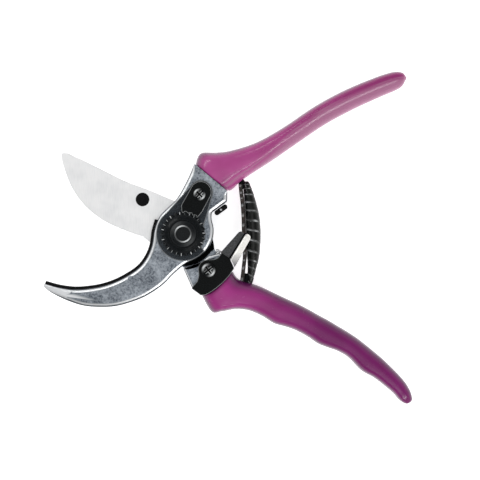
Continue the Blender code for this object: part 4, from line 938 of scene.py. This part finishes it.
def studShells():
    # a low disc above the blade, its flat pressed in along a cross by mark times exp(-(a / 0.3)^2), and
    # a broader one below it
    count, centre = stud["count"], middleOf("blade_stud")
    steps = np.r_[0.02, np.linspace(0.15, stud["flat"], 24), 3.25, 3.38, stud["radius"], stud["radius"]]
    top = bladeTop + stud["proud"]
    height = np.r_[np.full(25, top), top - 0.03, top - 0.1, bladeTop - 0.05, bladeTop - 0.5]
    theta = np.arange(count) * 2 * math.pi / count + math.radians(20)
    x, y = steps[:, None] * np.cos(theta), steps[:, None] * np.sin(theta)
    cross = np.maximum(np.exp(-(x / 0.3) ** 2), np.exp(-(y / 0.3) ** 2))
    cross = cross * (steps < stud["markReach"])[:, None]
    below = bladeBottom + np.array([-0.9, -0.9, -0.6, 0.2])
    return [polarRings(steps, height[:, None] - stud["mark"] * cross, count, centre),
            polarRings([3.0, 3.3, stud["under"], stud["under"]], below, count, centre)]


makePiece("bladeStud", studShells(), blackNylon, "blade_side", ["blade_stud"], 50)
print("small pieces made")

# ---- spring

# line and leg: places in plan, the line's with the coil's radius; edges: where each turn starts along Y
spring = {"line": [(30.9, 25.6, 1.7), (32.2, 20.4, 2.4), (33.4, 14.0, 3.1), (34.2, 8.0, 3.6),
                   (34.6, 1.0, 3.75), (34.6, -6.0, 3.55), (34.5, -12.0, 2.95), (33.9, -17.5, 2.1),
                   (32.9, -24.0, 1.5)],
          "edges": [26.6, 25.1, 23.3, 20.6, 16.8, 12.8, 7.9, 2.9, -2.0, -7.6, -12.3, -16.2, -20.0,
                    -23.6, -26.0],
          "perTurn": 44, "lap": 0.56, "nest": 0.3,
          "leg": [(28.2, 25.0), (28.7, 20.0), (29.2, 16.0), (29.7, 9.0), (29.9, 2.0), (30.2, -5.0),
                  (30.4, -11.0), (29.9, -16.0), (29.0, -24.0)],
          "legWidth": 2.0, "legThick": 1.0, "legAbove": 1.6}


def springRings():
    # a flat strip on a barrel: at turn angle a the section stands at cos(a) sideways and sin(a) up;
    # each turn starts at its own edge down the line, laps the next one, and tapers so that turns nest
    rows = smoothRows(spring["line"], 20)
    edges = np.array(spring["edges"])
    steps = (len(edges) - 2) * spring["perTurn"] + 1
    turns = np.arange(steps) / spring["perTurn"]
    y = np.interp(turns + 0.5, np.arange(len(edges)), edges)
    pitch = np.abs(np.gradient(y)) * spring["perTurn"]
    pitch = np.convolve(np.pad(pitch, 22, "edge"), np.ones(45) / 45, "valid")
    here = np.stack([np.interp(-y, -rows[:, 1], rows[:, k]) for k in range(3)], 1)
    way = unit(np.gradient(here[:, :2], axis=0))
    side = -leftOf(way)
    angle = np.arange(steps) * 2 * math.pi / spring["perTurn"]
    outward = np.column_stack([side * np.cos(angle)[:, None], np.sin(angle)])
    ahead = np.column_stack([way, np.zeros(steps)])
    across = np.array([-1, -0.96, -0.6, 0, 0.6, 0.96, 1, 1, 0.9, -0.9, -1])
    down = np.array([-0.1, 0.0, 0.03, 0.05, 0.03, 0.0, -0.1, -0.38, -0.5, -0.5, -0.38])
    toMiddle = np.clip(-here[:, 1] / 14.0, -1, 1)
    taper = spring["nest"] * across[None] * np.sign(toMiddle)[:, None] * np.abs(toMiddle)[:, None]
    radius = here[:, 2][:, None] + down[None] - taper
    slide = across[None] * pitch[:, None] * spring["lap"]
    centre = np.column_stack([here[:, :2], np.full(steps, gripMiddle)])
    return centre[:, None] + outward[:, None] * radius[..., None] + ahead[:, None] * slide[..., None]


def legRings():
    # a rounded flat section carried down the leg's line
    rows = smoothRows(spring["leg"], 10)
    way = unit(np.gradient(rows, axis=0))
    side = -leftOf(way)
    angle = np.arange(24) * 2 * math.pi / 24
    flat = np.sign(np.cos(angle)) * np.abs(np.cos(angle)) ** 0.5 * spring["legWidth"] / 2
    tall = np.sign(np.sin(angle)) * np.abs(np.sin(angle)) ** 0.5 * spring["legThick"] / 2
    plan = rows[:, None] + side[:, None] * flat[None, :, None]
    level = np.broadcast_to(gripMiddle + spring["legAbove"] + tall, plan.shape[:2])
    return np.concatenate([plan, level[..., None]], 2)


coil, leg = springRings()[:, ::-1], legRings()
coilShares = np.zeros(coil.shape[:2])
# painted highlight on the strip's edge: faint all round, bright in two short painted glints that differ turn
# by turn; a faint painted line on the other edge
coilTurn = np.arange(len(coil)) / spring["perTurn"] * 2 * math.pi
unlike = np.sin(coilTurn / (2 * math.pi) * 2.4) ** 2
glint = unlike * np.clip(np.cos(coilTurn - 1.1), 0, 1) ** 10 + (1 - unlike) * np.clip(
    np.cos(coilTurn - 2.0), 0, 1) ** 30
coilShares[:, [4, 5]] = (0.08 + 0.9 * glint)[:, None]
coilShares[:, [9, 10]] = 0.1
springPiece = makePiece("barrelSpring", [coil], springSteel, None, ["volute_spring"], 40,
                        [coilShares])
legShares = np.zeros(leg.shape[:2])
# painted glints, spaced along the leg
legShares[:, 4:7] = (0.5 * np.clip(np.sin(np.arange(len(leg)) * 0.9), 0, 1) ** 4)[:, None]
legPiece = makePiece("springLeg", [leg], legSteel, None, (), 40, [legShares])
for piece in (springPiece, legPiece):
    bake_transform(piece)
print("spring made")

# ---- materials of the CAD nodes that stay

# the counter blade's rivets are peened flush and take the forging's finish
kept = {"counter_rivet_rear": forgedAluminium, "counter_rivet_front": forgedAluminium,
        "bumper_pin": rivetSteel, "blade_rivet_lower": rivetSteel, "blade_rivet_left": rivetSteel,
        "strike_stud": rivetSteel, "upper_spring_peg": blackSteel, "lower_spring_peg": blackSteel,
        "catch_spring_washer": blackSteel, "pivot_bushing": bronze, "pivot_washer": blackNylon}
for node, material in kept.items():
    cadObject = bpy.data.objects.get(node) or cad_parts[node]
    for place in cadObject.material_slots:
        place.material = material
print("kept CAD nodes:", len(kept))

# ---- stage, light and camera

stage = {"world": 1.0, "sky": [(0.0, 1.0), (0.40, 1.0), (0.62, 0.33), (0.86, 0.33), (0.97, 0.62)],
         "middle": (0.028, -0.003, 0.010), "distance": 0.667, "lens": 100.0,
         "floorHalf": 2, "floorGlow": 0.7}
floorMaterial, tree, shader, place = newMaterial("whitePaperSweep", Roughness=0.9)
paper = ramp(tree, grain(tree, place, 30.0), (0.3, "#FAFAFA"), (0.7, "#FFFFFF"))
tree.links.new(paper, shader.inputs["Base Color"])
shader.inputs["Emission Color"].default_value = (1, 1, 1, 1)
shader.inputs["Emission Strength"].default_value = stage["floorGlow"]
half = stage["floorHalf"]
floorMesh = bpy.data.meshes.new("floor")
floorMesh.from_pydata([(-half, -half, 0), (half, -half, 0), (half, half, 0), (-half, half, 0)],
                      [], [(0, 1, 2, 3)])
floorMesh.materials.append(floorMaterial)
floor = bpy.data.objects.new("floor", floorMesh)
bpy.context.collection.objects.link(floor)

world = bpy.data.worlds.new("softStudio")
bpy.context.scene.world = world
world.use_nodes = True
# studio walls are bright, the height between them and the ceiling is dimmer
worldTree = world.node_tree
skyPlace = addNode(worldTree, "TexCoord").outputs["Generated"]
skyParts = addNode(worldTree, "SeparateXYZ", {"Vector": skyPlace}).outputs
sky = ramp(worldTree, skyParts[2], *stage["sky"])
worldTree.links.new(sky, worldTree.nodes["Background"].inputs["Color"])
worldTree.nodes["Background"].inputs["Strength"].default_value = stage["world"]


def softbox(name, azimuth, tilt, distance, width, height, radiance):
    # a rectangle of even radiance, tilt degrees from the zenith, facing the object's middle; its power is
    # radiance x pi x area
    light = bpy.data.lights.new(name, "AREA")
    light.shape = "RECTANGLE"
    light.size, light.size_y = width, height
    light.energy = radiance * math.pi * width * height
    lamp = bpy.data.objects.new(name, light)
    bpy.context.collection.objects.link(lamp)
    a, b = math.radians(azimuth), math.radians(tilt)
    way = np.array([math.sin(b) * math.cos(a), math.sin(b) * math.sin(a), math.cos(b)])
    lamp.location = np.array(stage["middle"]) + way * distance
    lamp.rotation_euler = (0, b, a)


softbox("softboxOverhead", 0, 0, 1.4, 0.5, 0.5, 0.6)
softbox("softboxLowerRight", -56, 24, 1.2, 0.3, 0.5, 1.8)
softbox("stripUpperLeft", 130, 40, 1.2, 0.07, 0.7, 15.0)
softbox("stripLowerRight", -50, 44, 1.2, 0.07, 0.7, 21.0)

bpy.context.scene.view_settings.view_transform = "Standard"
camera = bpy.data.objects.new("camera", bpy.data.cameras.new("camera"))
bpy.context.collection.objects.link(camera)
camera.data.lens = stage["lens"]
camera.location = (stage["middle"][0], stage["middle"][1], stage["middle"][2] + stage["distance"])
bpy.context.scene.camera = camera
print("stage made")
